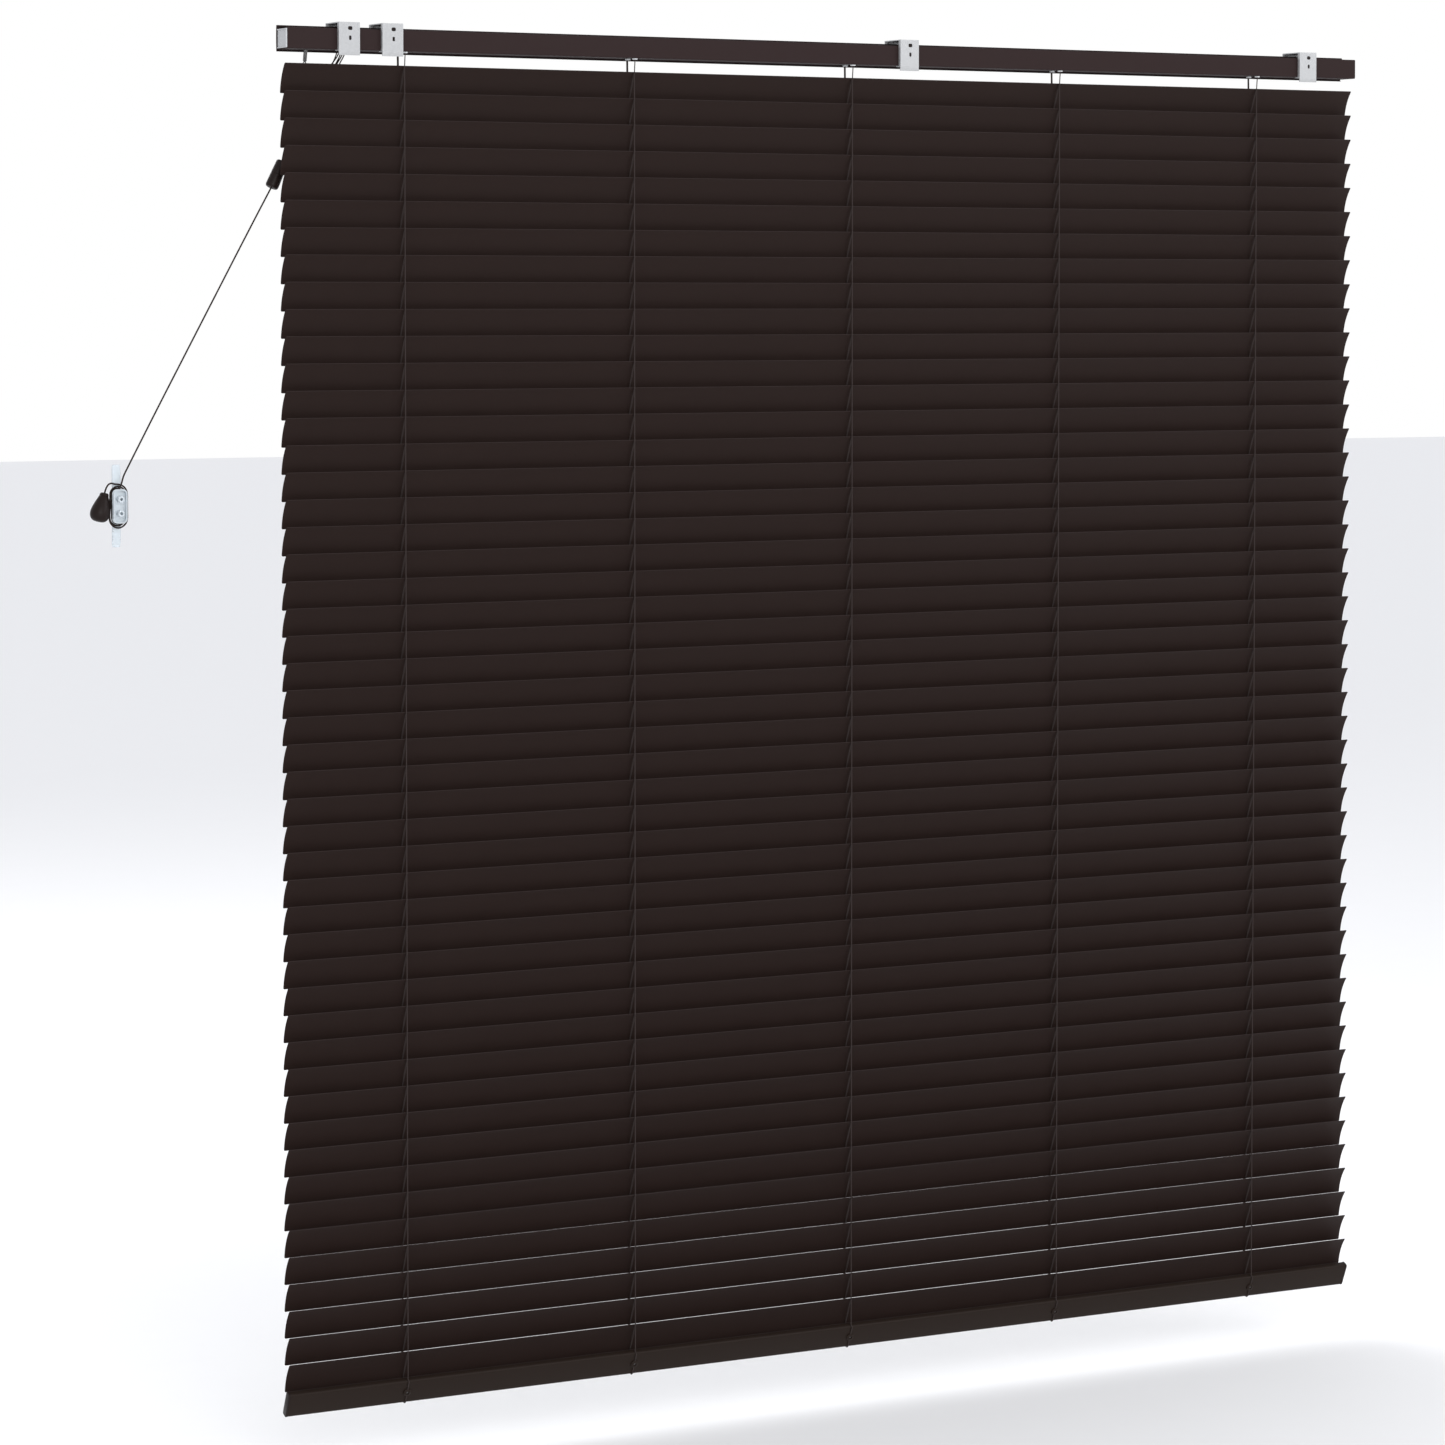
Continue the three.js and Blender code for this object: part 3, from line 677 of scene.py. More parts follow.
def carved(
    name: str,
    body: Shape,
    finish: Finish,
    added: Sequence[Shape] = (),
    removed: Sequence[Shape] = (),
    bevel: float = 0.0,
    sharp_deg: float = 20.0,
) -> bpy.types.Object:
    """Joins solids, rounds their edges and then cuts them.

    Args:
        name: the piece's name.
        body: the first solid.
        finish: what it is finished in.
        added: solids joined to it.
        removed: solids cut from it.
        bevel: how far its edges are rounded.
        sharp_deg: faces that meet at more than this angle keep a sharp edge between them.

    Returns:
        The piece.
    """
    made = body.made(name, finish)
    tools = []
    for operation, shapes in (("UNION", added), ("DIFFERENCE", removed)):
        if operation == "DIFFERENCE" and bevel:
            rounding = made.modifiers.new("rounding", "BEVEL")
            rounding.width = bevel
            rounding.segments = BEVEL_SEGMENTS
            rounding.limit_method = "ANGLE"
            rounding.angle_limit = math.radians(BEVEL_OVER_DEG)
        for shape in shapes:
            tool = shape.made("tool", finish)
            step = made.modifiers.new("carve", "BOOLEAN")
            step.operation = operation
            step.solver = "EXACT"
            step.object = tool
            tools.append(tool)
    bpy.context.view_layer.update()
    evaluated = made.evaluated_get(bpy.context.evaluated_depsgraph_get())
    mesh = bpy.data.meshes.new_from_object(evaluated)
    made.modifiers.clear()
    made.data = mesh
    mesh.name = name
    smoothed(mesh, sharp_deg)
    for tool in tools:
        bpy.data.objects.remove(tool)
    return made


def filleted(points: Sequence[tuple[float, float]], radius: float, steps: int = 4) -> Outline:
    """An open line with its inner corners rounded.

    Args:
        points: the line's corners.
        radius: how far the corners are rounded.
        steps: how many segments a corner takes.

    Returns:
        The rounded line.
    """
    line: Outline = [points[0]]
    for before, corner, after in zip(points, points[1:], points[2:]):
        here, back, on = Vector(corner), Vector(before) - Vector(corner), Vector(after) - Vector(corner)
        reach = min(radius, back.length / 2.2, on.length / 2.2)
        start, end = here + back.normalized() * reach, here + on.normalized() * reach
        for k in range(steps + 1):
            t = k / steps
            point = start * (1 - t) ** 2 + here * 2 * t * (1 - t) + end * t**2
            line.append((point.x, point.y))
    line.append(points[-1])
    return line


def folded_sheet(line: Outline, thickness: float) -> Outline:
    """The closed outline of a sheet that follows a line, half its thickness to each side.

    Args:
        line: the points of the line.
        thickness: the sheet's thickness.

    Returns:
        The outline.
    """
    sides: tuple[Outline, Outline] = ([], [])
    for i, point in enumerate(line):
        before, after = Vector(line[max(i - 1, 0)]), Vector(line[min(i + 1, len(line) - 1)])
        along = (after - before).normalized()
        normal = Vector((-along.y, along.x)) * thickness / 2
        for side, sign in zip(sides, (1, -1), strict=True):
            side.append((point[0] + sign * normal.x, point[1] + sign * normal.y))
    return sides[0] + sides[1][::-1]


def ring_outline(radii: Sequence[float], first: float, second: float, ahead: float = 0.0) -> Outline:
    """Points round a centre, evenly apart, each at its own radius.

    Args:
        radii: each point's radius.
        first: the centre's first coordinate.
        second: the centre's second coordinate.
        ahead: how far the points are turned on, as a share of the step between two.

    Returns:
        The points.
    """
    angles = [TURN * (k + ahead) / len(radii) for k in range(len(radii))]
    return [
        (first + radius * math.cos(angle), second + radius * math.sin(angle))
        for radius, angle in zip(radii, angles)
    ]


def rounded_outline(width: float, height: float, corner: float, steps: int = 5) -> Outline:
    """A rectangle with rounded corners about the origin.

    Args:
        width: its first size.
        height: its second size.
        corner: the radius of its corners.
        steps: how many segments a corner takes.

    Returns:
        The outline.
    """
    outline: Outline = []
    for quarter, (sx, sy) in enumerate(((1, 1), (-1, 1), (-1, -1), (1, -1))):
        for k in range(steps + 1):
            angle = math.pi / 2 * (quarter + k / steps)
            outline.append((
                sx * (width / 2 - corner) + corner * math.cos(angle),
                sy * (height / 2 - corner) + corner * math.sin(angle),
            ))
    return outline


KNOT_PAIRS = (((0, 1), (1, 2), (2, 3)), ((0, 2), (1, 3)), ((1, 2),))


def smooth_path(stops: Sequence[Vector], spacing: float) -> Ring:
    """A smooth line through its stops, which keeps to them where they crowd together.

    Args:
        stops: the points that it passes.
        spacing: about how far apart its points are.

    Returns:
        The line's points.
    """
    padded = [2 * stops[0] - stops[1], *stops, 2 * stops[-1] - stops[-2]]
    line: Ring = []
    for four in zip(padded, padded[1:], padded[2:], padded[3:]):
        knots = [0.0]
        for before, after in zip(four, four[1:]):
            knots.append(knots[-1] + math.sqrt((after - before).length))
        count = max(1, round((four[2] - four[1]).length / spacing))
        for k in range(count):
            t = knots[1] + (knots[2] - knots[1]) * k / count
            level = list(four)
            for pairs in KNOT_PAIRS:
                level = [
                    level[i].lerp(level[i + 1], (t - knots[low]) / (knots[high] - knots[low]))
                    for i, (low, high) in enumerate(pairs)
                ]
            line.append(level[0])
    line.append(stops[-1].copy())
    return line


def fit(piece: bpy.types.Object, body: str, slot: str, *nodes: str) -> bpy.types.Object:
    """Puts a piece on its body and hides the frame's nodes that it stands for.

    Args:
        piece: the piece, in place.
        body: the body that it moves with.
        slot: the record's material slot; not used.
        nodes: the nodes that it stands for.

    Returns:
        The piece.
    """
    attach(piece, body)
    if nodes:
        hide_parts(*nodes)
    log.info("%s rides on %s", piece.name, body)
    return piece


# ------------------------------------------------------------------ places that the frame gives

JOINTS = {joint["name"]: joint for joint in frame["joints"]}
MOUNTS = {mount["name"]: mount for mount in frame["record"]["mounts"]}
SLAT_NAMES = sorted(name for name in frame["nodes"] if name.startswith("slat_"))
SLAT_AXES = [Vector(JOINTS[f"{name}_tilt"]["pos_m"]) for name in SLAT_NAMES]
AXIS_Y = SLAT_AXES[0].y
ROD_Z = JOINTS["tilt"]["pos_m"][2]
HALF_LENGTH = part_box(SLAT_NAMES[0])[1].x
STATION_INSET = 0.140
STATION_COUNT = 5
STATIONS = [
    -HALF_LENGTH + STATION_INSET + k * 2 * (HALF_LENGTH - STATION_INSET) / (STATION_COUNT - 1)
    for k in range(STATION_COUNT)
]
CLOSED = math.radians(67.4)
SLAT_WIDTH = 0.035
WALL, ROOM = 1, -1


def on_tilted(u: float, n: float, axis: Vector, x: float = 0.0) -> Vector:
    """A point of a closed slat or rail.

    Args:
        u: how far it is across the piece, towards its wall side edge.
        n: how far it is above the piece, on its crown side.
        axis: the piece's tilt axis.
        x: how far it is along the blind.

    Returns:
        The point.
    """
    return Vector((
        x,
        axis.y + u * math.cos(CLOSED) - n * math.sin(CLOSED),
        axis.z + u * math.sin(CLOSED) + n * math.cos(CLOSED),
    ))


# ------------------------------------------------------------------ cords

LIFT_ROUTE = [Vector(p) for p in (
    (0.6280, -0.0270, -0.0128), (0.6284, -0.0276, -0.0155), (0.6294, -0.0296, -0.0194),
    (0.6310, -0.0328, -0.0240), (0.6332, -0.0360, -0.0300), (0.6364, -0.0384, -0.0380),
    (0.6420, -0.0394, -0.0500), (0.6505, -0.0397, -0.0660), (0.6605, -0.0399, -0.0840),
    (0.6710, -0.0402, -0.1020), (0.6810, -0.0422, -0.1190), (0.6894, -0.0450, -0.1326),
)]
PULL_ROUTE = [Vector(p) for p in (
    (0.7018, -0.0450, -0.1590), (0.7205, -0.0422, -0.1900), (0.7440, -0.0382, -0.2290),
    (0.7680, -0.0339, -0.2690), (0.7920, -0.0296, -0.3090), (0.8160, -0.0252, -0.3490),
    (0.8400, -0.0208, -0.3890), (0.8620, -0.0166, -0.4260), (0.8780, -0.0134, -0.4530),
    (0.8860, -0.0106, -0.4662), (0.8884, -0.0094, -0.4728), (0.8901, -0.0091, -0.4764),
)]
TAIL_ROUTE = [Vector(p) for p in (
    (0.8950, -0.0120, -0.4738), (0.8984, -0.0118, -0.4729), (0.9018, -0.0117, -0.4738),
    (0.9044, -0.0118, -0.4772), (0.9059, -0.0120, -0.4812), (0.9066, -0.0120, -0.4840),
)]


@dataclass
class PullCords:
    """The lift cords below the lock, the joiner, the one cord, its winding, its tail and the tassel."""

    lift_diameter: float = 0.0014
    lift_count: int = 5
    bundle_radius: float = 0.0014
    lock_spread: float = 0.0024
    twist_length: float = 0.085
    lift_step: float = 0.0018
    gathered_after: float = 0.030
    bow_length: float = 0.052
    slack_bows: dict[int, float] = field(default_factory=lambda: {0: -0.0052, 3: 0.0052 * (1 - 0.45)})
    lift_sides: int = 8
    pull_diameter: float = 0.0018
    pull_sides: int = 10
    pull_step: float = 0.0019
    tassel_lean: float = math.radians(14.0)
    cleat_middle: tuple[float, float] = (0.892, -0.497)
    neck_radius: float = 0.0067
    neck_half: float = 0.0117
    lane_y: float = -0.0091
    lane_pitch: float = 0.00195
    wound: tuple[tuple[float, float, float], ...] = (
        (0.05, 0.0, 0.0), (2.0, 2.0, 0.0), (2.25, 2.0, 1.0),
        (3.25, 1.0, 1.0), (3.5, 1.0, 2.0), (4.0, 1.5, 2.0),
    )
    turn_points: int = 28

    @property
    def joiner_axis(self) -> Vector:
        """The direction in which the joiner points."""
        return (PULL_ROUTE[0] - LIFT_ROUTE[-1]).normalized()

    def lift_path(self, index: int) -> Ring:
        """The way of one lift cord: side by side at the lock, then twisted loosely round the others.

        Args:
            index: which of the cords it is.

        Returns:
            Its centreline.
        """
        middle = smooth_path(LIFT_ROUTE, self.lift_step)
        gone, path = 0.0, []
        for i, point in enumerate(middle):
            gone += (point - middle[i - 1]).length if i else 0.0
            ahead = (middle[min(i + 1, len(middle) - 1)] - middle[max(i - 1, 0)]).normalized()
            across = ahead.cross(Vector((0, 1, 0))).normalized()
            over = across.cross(ahead)
            angle = TURN * (index / self.lift_count + gone / self.twist_length)
            ring = self.bundle_radius * (math.cos(angle) * across + math.sin(angle) * over)
            row = Vector(((index - (self.lift_count - 1) / 2) * self.lock_spread, 0, 0))
            gathered = min(1.0, gone / self.gathered_after)
            share = gathered * gathered * (3 - 2 * gathered)
            swell = math.sin(math.pi * min(1.0, gone / self.bow_length)) ** 2
            bow = self.slack_bows.get(index, 0.0) * swell
            path.append(point + row * (1 - share) + ring * share + Vector((bow, -0.4 * abs(bow), 0)))
        return path

    def stadium(self, turn: float, layer: float) -> tuple[float, float]:
        """Where a turn of the winding passes, clockwise from the top.

        Args:
            turn: how many turns have gone.
            layer: how many layers lie under it.

        Returns:
            Its place along X and Z from the middle of the cleat.
        """
        radius = self.neck_radius + layer * self.lane_pitch
        half = self.neck_half + 0.0003 * layer
        around = (turn % 1.0) * (4 * half + TURN * radius)
        quarter = math.pi * radius / 2
        for length, place in (
            (quarter, lambda s: (radius * math.sin(s / radius), half + radius * math.cos(s / radius))),
            (2 * half, lambda s: (radius, half - s)),
            (2 * quarter, lambda s: (radius * math.cos(s / radius), -half - radius * math.sin(s / radius))),
            (2 * half, lambda s: (-radius, s - half)),
            (quarter, lambda s: (-radius * math.cos(s / radius), half + radius * math.sin(s / radius))),
        ):
            if around <= length + 1e-9:
                return place(around)
            around -= length
        return 0.0, half + radius

    def winding_stops(self) -> Ring:
        """The stops of the winding: down the neck's lanes and back over the first layer.

        Returns:
            The stops, in order along the cord.
        """
        first, last = self.wound[0][0], self.wound[-1][0]
        count = round((last - first) * self.turn_points)
        stops = []
        for k in range(count + 1):
            turn = first + (last - first) * k / count
            for (t0, lane0, layer0), (t1, lane1, layer1) in zip(self.wound, self.wound[1:]):
                if t0 <= turn <= t1 + 1e-9:
                    share = (turn - t0) / (t1 - t0)
                    lane, layer = lane0 + (lane1 - lane0) * share, layer0 + (layer1 - layer0) * share
            x, z = self.stadium(turn - (1e-6 if k == count else 0.0), layer)
            y = self.lane_y - lane * self.lane_pitch
            stops.append(Vector((self.cleat_middle[0] + x, y, self.cleat_middle[1] + z)))
        return stops

    def build(self) -> None:
        """Makes every cord outside the headrail and what is on it."""
        joiner, tassel = self.joiner(), self.tassel()
        for index in range(self.lift_count):
            path = self.lift_path(index)
            shape = Shape().tube(path, self.lift_diameter / 2, self.lift_sides)
            piece = shape.made(f"lift_cord_tail_{index + 1}", CORD_BRAID)
            fit(piece, "headrail", "cord", "pull_cord")
        path = smooth_path([*PULL_ROUTE, *self.winding_stops(), *TAIL_ROUTE], self.pull_step)
        shape = Shape().tube(path, self.pull_diameter / 2, self.pull_sides)
        piece = shape.made("pull_cord_line", CORD_BRAID)
        fit(piece, "headrail", "cord", "pull_cord", "cord_winding")

    def joiner(self) -> bpy.types.Object:
        """The two-part barrel in which the lift cords end and the one cord starts.

        Returns:
            The piece.
        """
        profile = [
            (0.0028, 0.0040), (0.0032, 0.0004), (0.0038, 0.0), (0.0053, 0.0), (0.0061, 0.0006),
            (0.0064, 0.0020), (0.0069, 0.0140), (0.0069, 0.0150), (0.0066, 0.0153), (0.0066, 0.0158),
            (0.0069, 0.0161), (0.0072, 0.0250), (0.0072, 0.0280), (0.0069, 0.0299), (0.0061, 0.0310),
            (0.0046, 0.0315),
            (0.0018, 0.0315), (0.0014, 0.0300),
        ]
        top = LIFT_ROUTE[-1] - 0.001 * self.joiner_axis
        piece = Shape().turned(profile, top, self.joiner_axis, 32).made("cord_joiner", BROWN_PLASTIC, 35.0)
        return fit(piece, "headrail", "dark", "pull_cord")

    def tassel(self) -> bpy.types.Object:
        """The tapered drop on the cord's tail, with a rounded base and a ring at its neck.

        Returns:
            The piece.
        """
        profile = [
            (0.0012, 0.0016), (0.0014, 0.0), (0.0030, 0.0), (0.0040, 0.0005), (0.0047, 0.0015),
            (0.0049, 0.0028), (0.0046, 0.0033), (0.0052, 0.0040), (0.0065, 0.0075), (0.0080, 0.0115),
            (0.0092, 0.0150),
            (0.0101, 0.0185), (0.0105, 0.0212), (0.0104, 0.0238), (0.0098, 0.0262), (0.0087, 0.0283),
            (0.0071, 0.0298), (0.0052, 0.0307), (0.0034, 0.0310), (0.0026, 0.0303), (0.0, 0.0300),
        ]
        axis = Vector((math.sin(self.tassel_lean), 0, -math.cos(self.tassel_lean)))
        top = TAIL_ROUTE[-1] - 0.0012 * axis
        piece = Shape().turned(profile, top, axis, 36).made("pull_tassel", BROWN_PLASTIC, 30.0)
        return fit(piece, "headrail", "dark", "cord_tassel")


LADDER_FEET = {WALL: (0.0137, -0.0008), ROOM: (-0.0076, 0.0045)}


@dataclass
class Ladders:
    """The ladders' upright cords and the lift cords beside them, at every station."""

    upright_radius: float = 0.0006
    lift_radius: float = 0.0006
    lift_beside: float = 0.0014
    lift_forward: float = 0.0012
    lift_parts: int = 24
    bend_parts: int = 8
    from_edge: float = 0.00075
    knot_swell: float = 1.35
    knot_half: float = 0.0012
    knot_off: float = 0.0006
    drum_radius: float = 0.0085
    sides: int = 8

    def upright_y(self, side: int) -> float:
        """How far towards the wall or the room an upright hangs."""
        return AXIS_Y + side * (SLAT_WIDTH / 2 * math.cos(CLOSED) + self.from_edge)

    def edge_z(self, index: int, side: int) -> float:
        """The height of a slat's edge."""
        return SLAT_AXES[index].z + side * SLAT_WIDTH / 2 * math.sin(CLOSED)

    def foot_z(self, side: int) -> float:
        """Where an upright ends, at the bottom rail."""
        return on_tilted(*LADDER_FEET[side], Vector(JOINTS["bottom_rail_tilt"]["pos_m"])).z

    def upright(self, x: float, side: int) -> Shape:
        """One upright from the first slat down, with a small knot at each rung.

        Args:
            x: the station.
            side: its side of the slats.

        Returns:
            The cord's shape.
        """
        y = self.upright_y(side)
        path, radii = [Vector((x, y, self.edge_z(0, side)))], [self.upright_radius]
        for index in range(len(SLAT_AXES)):
            rung = self.edge_z(index, side) - side * self.knot_off
            for drop, swell in ((0.0, 1.0), (self.knot_half, self.knot_swell), (2 * self.knot_half, 1.0)):
                z = rung + self.knot_half - drop
                if z < path[-1].z - 1e-5:
                    path.append(Vector((x, y, z)))
                    radii.append(self.upright_radius * swell)
        path.append(Vector((x, y, self.foot_z(side))))
        radii.append(self.upright_radius)
        return Shape().tube(path, radii, self.sides)

    def build(self) -> None:
        """Makes the cords of every station."""
        wall_name, room_name = "ladder_cord_wall_side", "ladder_cord_room_side"
        for number, x in enumerate(STATIONS, 1):
            for side, body, label in ((WALL, wall_name, "wall"), (ROOM, room_name, "room")):
                piece = self.upright(x, side).made(f"ladder_upright_{label}_{number}", LADDER_BRAID)
                fit(piece, body, "cord", body)
                self.strand(f"ladder_strand_{label}_{number}", x, side)
            y, top, foot = self.upright_y(ROOM), self.edge_z(0, ROOM), self.foot_z(ROOM)
            beside = x + self.lift_beside
            parts = self.lift_parts
            path = [Vector((beside, y, top + (foot - top) * k / parts)) for k in range(parts + 1)]
            shape = Shape().tube(path, self.lift_radius, self.sides)
            fit(shape.made(f"lift_cord_{number}", LADDER_BRAID), room_name, "cord")
            stops = [Vector((beside, y - self.lift_forward, CHANNEL.floor_top)), Vector((beside, y, top))]
            self.bend(f"lift_cord_top_{number}", stops, self.lift_radius)

    def strand(self, name: str, x: float, side: int) -> None:
        """Makes the stretch of an upright from its drum in the headrail to the first slat.

        Args:
            name: the piece's name.
            x: the station.
            side: its side of the slats.
        """
        off_drum = AXIS_Y + side * (self.drum_radius + self.upright_radius)
        stops = [
            Vector((x, off_drum, ROD_Z)),
            Vector((x, off_drum, CHANNEL.floor_top)),
            Vector((x, self.upright_y(side), self.edge_z(0, side))),
        ]
        self.bend(name, stops, self.upright_radius)

    def bend(self, name: str, stops: Ring, radius: float) -> None:
        """Makes a cord from the headrail down to the first slat, bent at its stops.

        Args:
            name: the piece's name.
            stops: its stops from the top.
            radius: the cord's radius.
        """
        path: Ring = []
        for start, end in zip(stops, stops[1:]):
            path.extend(start.lerp(end, k / self.bend_parts) for k in range(self.bend_parts))
        path.append(stops[-1])
        piece = Shape().tube(path, radius, self.sides).made(name, LADDER_BRAID)
        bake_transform(piece)
        log.info("%s bends between the headrail and the first slat", name)


# ------------------------------------------------------------------ slats


@dataclass
class Slats:
    """The crowned slats with rounded corners, and the rungs that carry them."""

    sheet: float = 0.00026
    crown: float = 0.0026
    corner: float = 0.0012
    strips: int = 22
    drawn_in: float = 0.00015
    hem_radius: float = 0.00030
    rung_radius: float = 0.00038
    rung_gap: float = 0.0011
    rung_reach: float = 0.0014
    rung_drop: float = 0.0001
    rung_parts: int = 8

    def slat_shape(self) -> Shape:
        """One slat about its own axis, lying flat with its crown up.

        Returns:
            The slat's shape.
        """
        half = SLAT_WIDTH / 2 - self.drawn_in
        radius = (half**2 + self.crown**2) / (2 * self.crown)
        across = [half * math.sin(math.pi / 2 * (2 * j / self.strips - 1)) for j in range(self.strips + 1)]
        shape = Shape()
        columns = 4
        for depth in (0.0, self.sheet):
            for u in across:
                past = max(0.0, abs(u) - (half - self.corner))
                tip = HALF_LENGTH - self.corner + math.sqrt(max(0.0, self.corner**2 - past**2))
                angle = math.asin(u / radius)
                y = (radius - depth) * math.sin(angle)
                z = (radius - depth) * math.cos(angle) - radius + self.crown
                inner = HALF_LENGTH - 2 * self.corner
                shape.points.extend(Vector((x, y, z)) for x in (-tip, -inner, inner, tip))
        layer = (self.strips + 1) * columns
        for j in range(self.strips):
            for k in range(columns - 1):
                a = j * columns + k
                top = (a, a + 1, a + columns + 1, a + columns)
                shape.faces.append(top)
                shape.faces.append(tuple(i + layer for i in reversed(top)))
            for k in (0, columns - 1):
                a = j * columns + k
                shape.faces.append((a, a + columns, a + columns + layer, a + layer))
        for k in range(columns - 1):
            for j in (0, self.strips):
                a = j * columns + k
                shape.faces.append((a, a + 1, a + 1 + layer, a + layer))
        return shape

    def hem_shape(self) -> Shape:
        """The fine rolled hems along both edges of one slat, about its own axis.

        Returns:
            The hems' shape.
        """
        shape = Shape()
        for side in (WALL, ROOM):
            y = side * (SLAT_WIDTH / 2 - self.drawn_in - self.hem_radius)
            ends = [Vector((sign * (HALF_LENGTH - self.corner), y, -self.sheet / 2)) for sign in (-1, 1)]
            shape.tube(ends, self.hem_radius, 8)
        return shape

    def rung_shape(self) -> Shape:
        """The rungs under one slat, two thin strands at each station, about the slat's own axis.

        Returns:
            The rungs' shape.
        """
        reach, parts = SLAT_WIDTH / 2 + self.rung_reach, self.rung_parts
        z = -self.rung_radius - self.sheet - self.rung_drop
        shape = Shape()
        for x in STATIONS:
            for sign in (-1, 1):
                stops = []
                for k in range(parts + 1):
                    apart = sign * self.rung_gap / 2 * math.sin(math.pi * k / parts) ** 0.5
                    stops.append(Vector((x + apart, reach * (2 * k / parts - 1), z)))
                shape.tube(stops, self.rung_radius, 6)
        return shape

    def build(self) -> None:
        """Places a slat and its rungs on each of the slats' bodies."""
        kinds = (
            ("blade", self.slat_shape().mesh("slat"), SLAT_LACQUER, "slat"),
            # The hems take the lighter edge finish, a painted highlight along both slat edges.
            ("hems", self.hem_shape().mesh("hems"), SLAT_EDGE_HIGHLIGHT, "slat"),
            ("rungs", self.rung_shape().mesh("rungs"), LADDER_BRAID, "cord"),
        )
        for name, axis in zip(SLAT_NAMES, SLAT_AXES, strict=True):
            for label, mesh, finish, slot in kinds:
                piece = placed(f"{name}_{label}", mesh, finish)
                piece.location = axis
                piece.rotation_euler = (CLOSED, 0, 0)
                fit(piece, name, slot, *([name] if label == "blade" else []))


# ------------------------------------------------------------------ headrail


@dataclass
class Channel:
    """The rolled headrail with its fascia, end caps and eyelets."""

    back_y: float = -0.0045
    front_y: float = -0.0345
    floor_z: float = -0.0124
    back_top: float = 0.0104
    fascia_low: float = -0.0146
    fascia_high: float = 0.0136
    sheet: float = 0.0008
    lip: float = 0.0032
    bulge: float = 0.0005
    fascia_clear: float = 0.0001
    fascia_inset: float = 0.0003
    fascia_parts: int = 16
    fascia_sheet: float = 0.0005
    turned_in: tuple[float, float] = (0.0016, 0.0030)
    fold: float = 0.0013
    front_drop: float = 0.0012
    opening: tuple[float, float] = (0.006, 0.0105)
    stem_hole: float = 0.0026
    cap_gap: float = 0.0036
    cap_rim: float = 0.0012

    @property
    def floor_top(self) -> float:
        """The top of the channel's floor."""
        return self.floor_z + self.sheet

    def outline(self) -> Outline:
        """The channel's section.

        Returns:
            Its (y, z) points.
        """
        half = self.sheet / 2
        back, front = self.back_y - half, self.front_y + half + self.fascia_clear
        front_top = self.fascia_high - self.front_drop
        line = filleted([
            (back - self.lip, self.back_top - half), (back, self.back_top - half),
            (back, self.floor_z + half), (front, self.floor_z + half),
            (front, front_top), (front + self.lip, front_top),
        ], self.fold)
        return folded_sheet(line, self.sheet)

    def fascia_outline(self) -> Outline:
        """The bowed strip over the room side, with both its edges turned in.

        Returns:
            Its (y, z) points.
        """
        inset = self.fascia_inset
        y, low, high = self.front_y - inset, self.fascia_low + inset, self.fascia_high - inset
        rise = self.fascia_high - self.fascia_low - 2 * inset
        line = [(y + self.turned_in[0], low)]
        for k in range(self.fascia_parts + 1):
            share = k / self.fascia_parts
            bow = self.bulge * (1 - (2 * share - 1) ** 2)
            line.append((y - bow, low + share * rise))
        line.append((y + self.turned_in[1], high))
        return folded_sheet(filleted(line, 0.0004, 2), self.fascia_sheet)

    def build(self) -> None:
        """Makes the channel, its fascia, the two caps and the eyelets."""
        stem, down = Vector(JOINTS["stem_spin"]["pos_m"]), Vector(JOINTS["stem_spin"]["axis"])
        low, high = self.floor_z - CUT_PAST, self.floor_top + CUT_PAST
        out, over = self.opening
        cuts = [
            Shape().box((x - out, AXIS_Y - over, low), (x + out, AXIS_Y + over, high)) for x in STATIONS
        ]
        cuts.append(Shape().box(*LOCK.mouth(low, high)))
        cuts.append(Shape().bar(self.stem_hole, 0.006, 0.020, stem, down, 20))
        body = Shape().along_x(self.outline(), -HALF_LENGTH, HALF_LENGTH)
        fit(carved("headrail_channel", body, RAIL_ENAMEL, removed=cuts), "headrail", "rail", "headrail")
        fascia = Shape().along_x(self.fascia_outline(), -HALF_LENGTH, HALF_LENGTH)
        fit(fascia.made("headrail_fascia", RAIL_ENAMEL, 30), "headrail", "rail")
        for side, label in ((-1, "far"), (1, "lock")):
            self.cap(side, label)
        for number, x in enumerate(STATIONS, 1):
            self.eyelets(number, x)

    def cap(self, side: int, label: str) -> None:
        """Makes one end cap: an inset plate with a paler strip along its wall side.

        Args:
            side: which end it closes.
            label: that end's name.
        """
        low, high = self.floor_top + 0.0002, self.back_top - 0.0012
        back, front = self.back_y - self.sheet - 0.0003, self.front_y + self.sheet + 0.0006
        plate_back, rim = back - self.cap_gap, self.cap_rim
        plate_x, rim_x, strip_x = (
            sorted((side * (HALF_LENGTH - 0.0030), side * (HALF_LENGTH + past)))
            for past in (-0.0008, 0.0, 0.0002)
        )
        plate = Shape().box((plate_x[0], front, low), (plate_x[1], plate_back, high))
        rims = [
            Shape().box((rim_x[0], front, z0), (rim_x[1], plate_back, z1))
            for z0, z1 in ((low, low + rim), (high - rim, high))
        ]
        piece = carved(f"end_cap_{label}", plate, PALE_PLASTIC, added=rims, bevel=0.0003)
        fit(piece, "headrail", "clear")
        strip = Shape().box((strip_x[0], back - 0.0034, low), (strip_x[1], back, high))
        piece = carved(f"end_cap_strip_{label}", strip, LIGHT_STRIP, bevel=0.0005)
        fit(piece, "headrail", "clear")

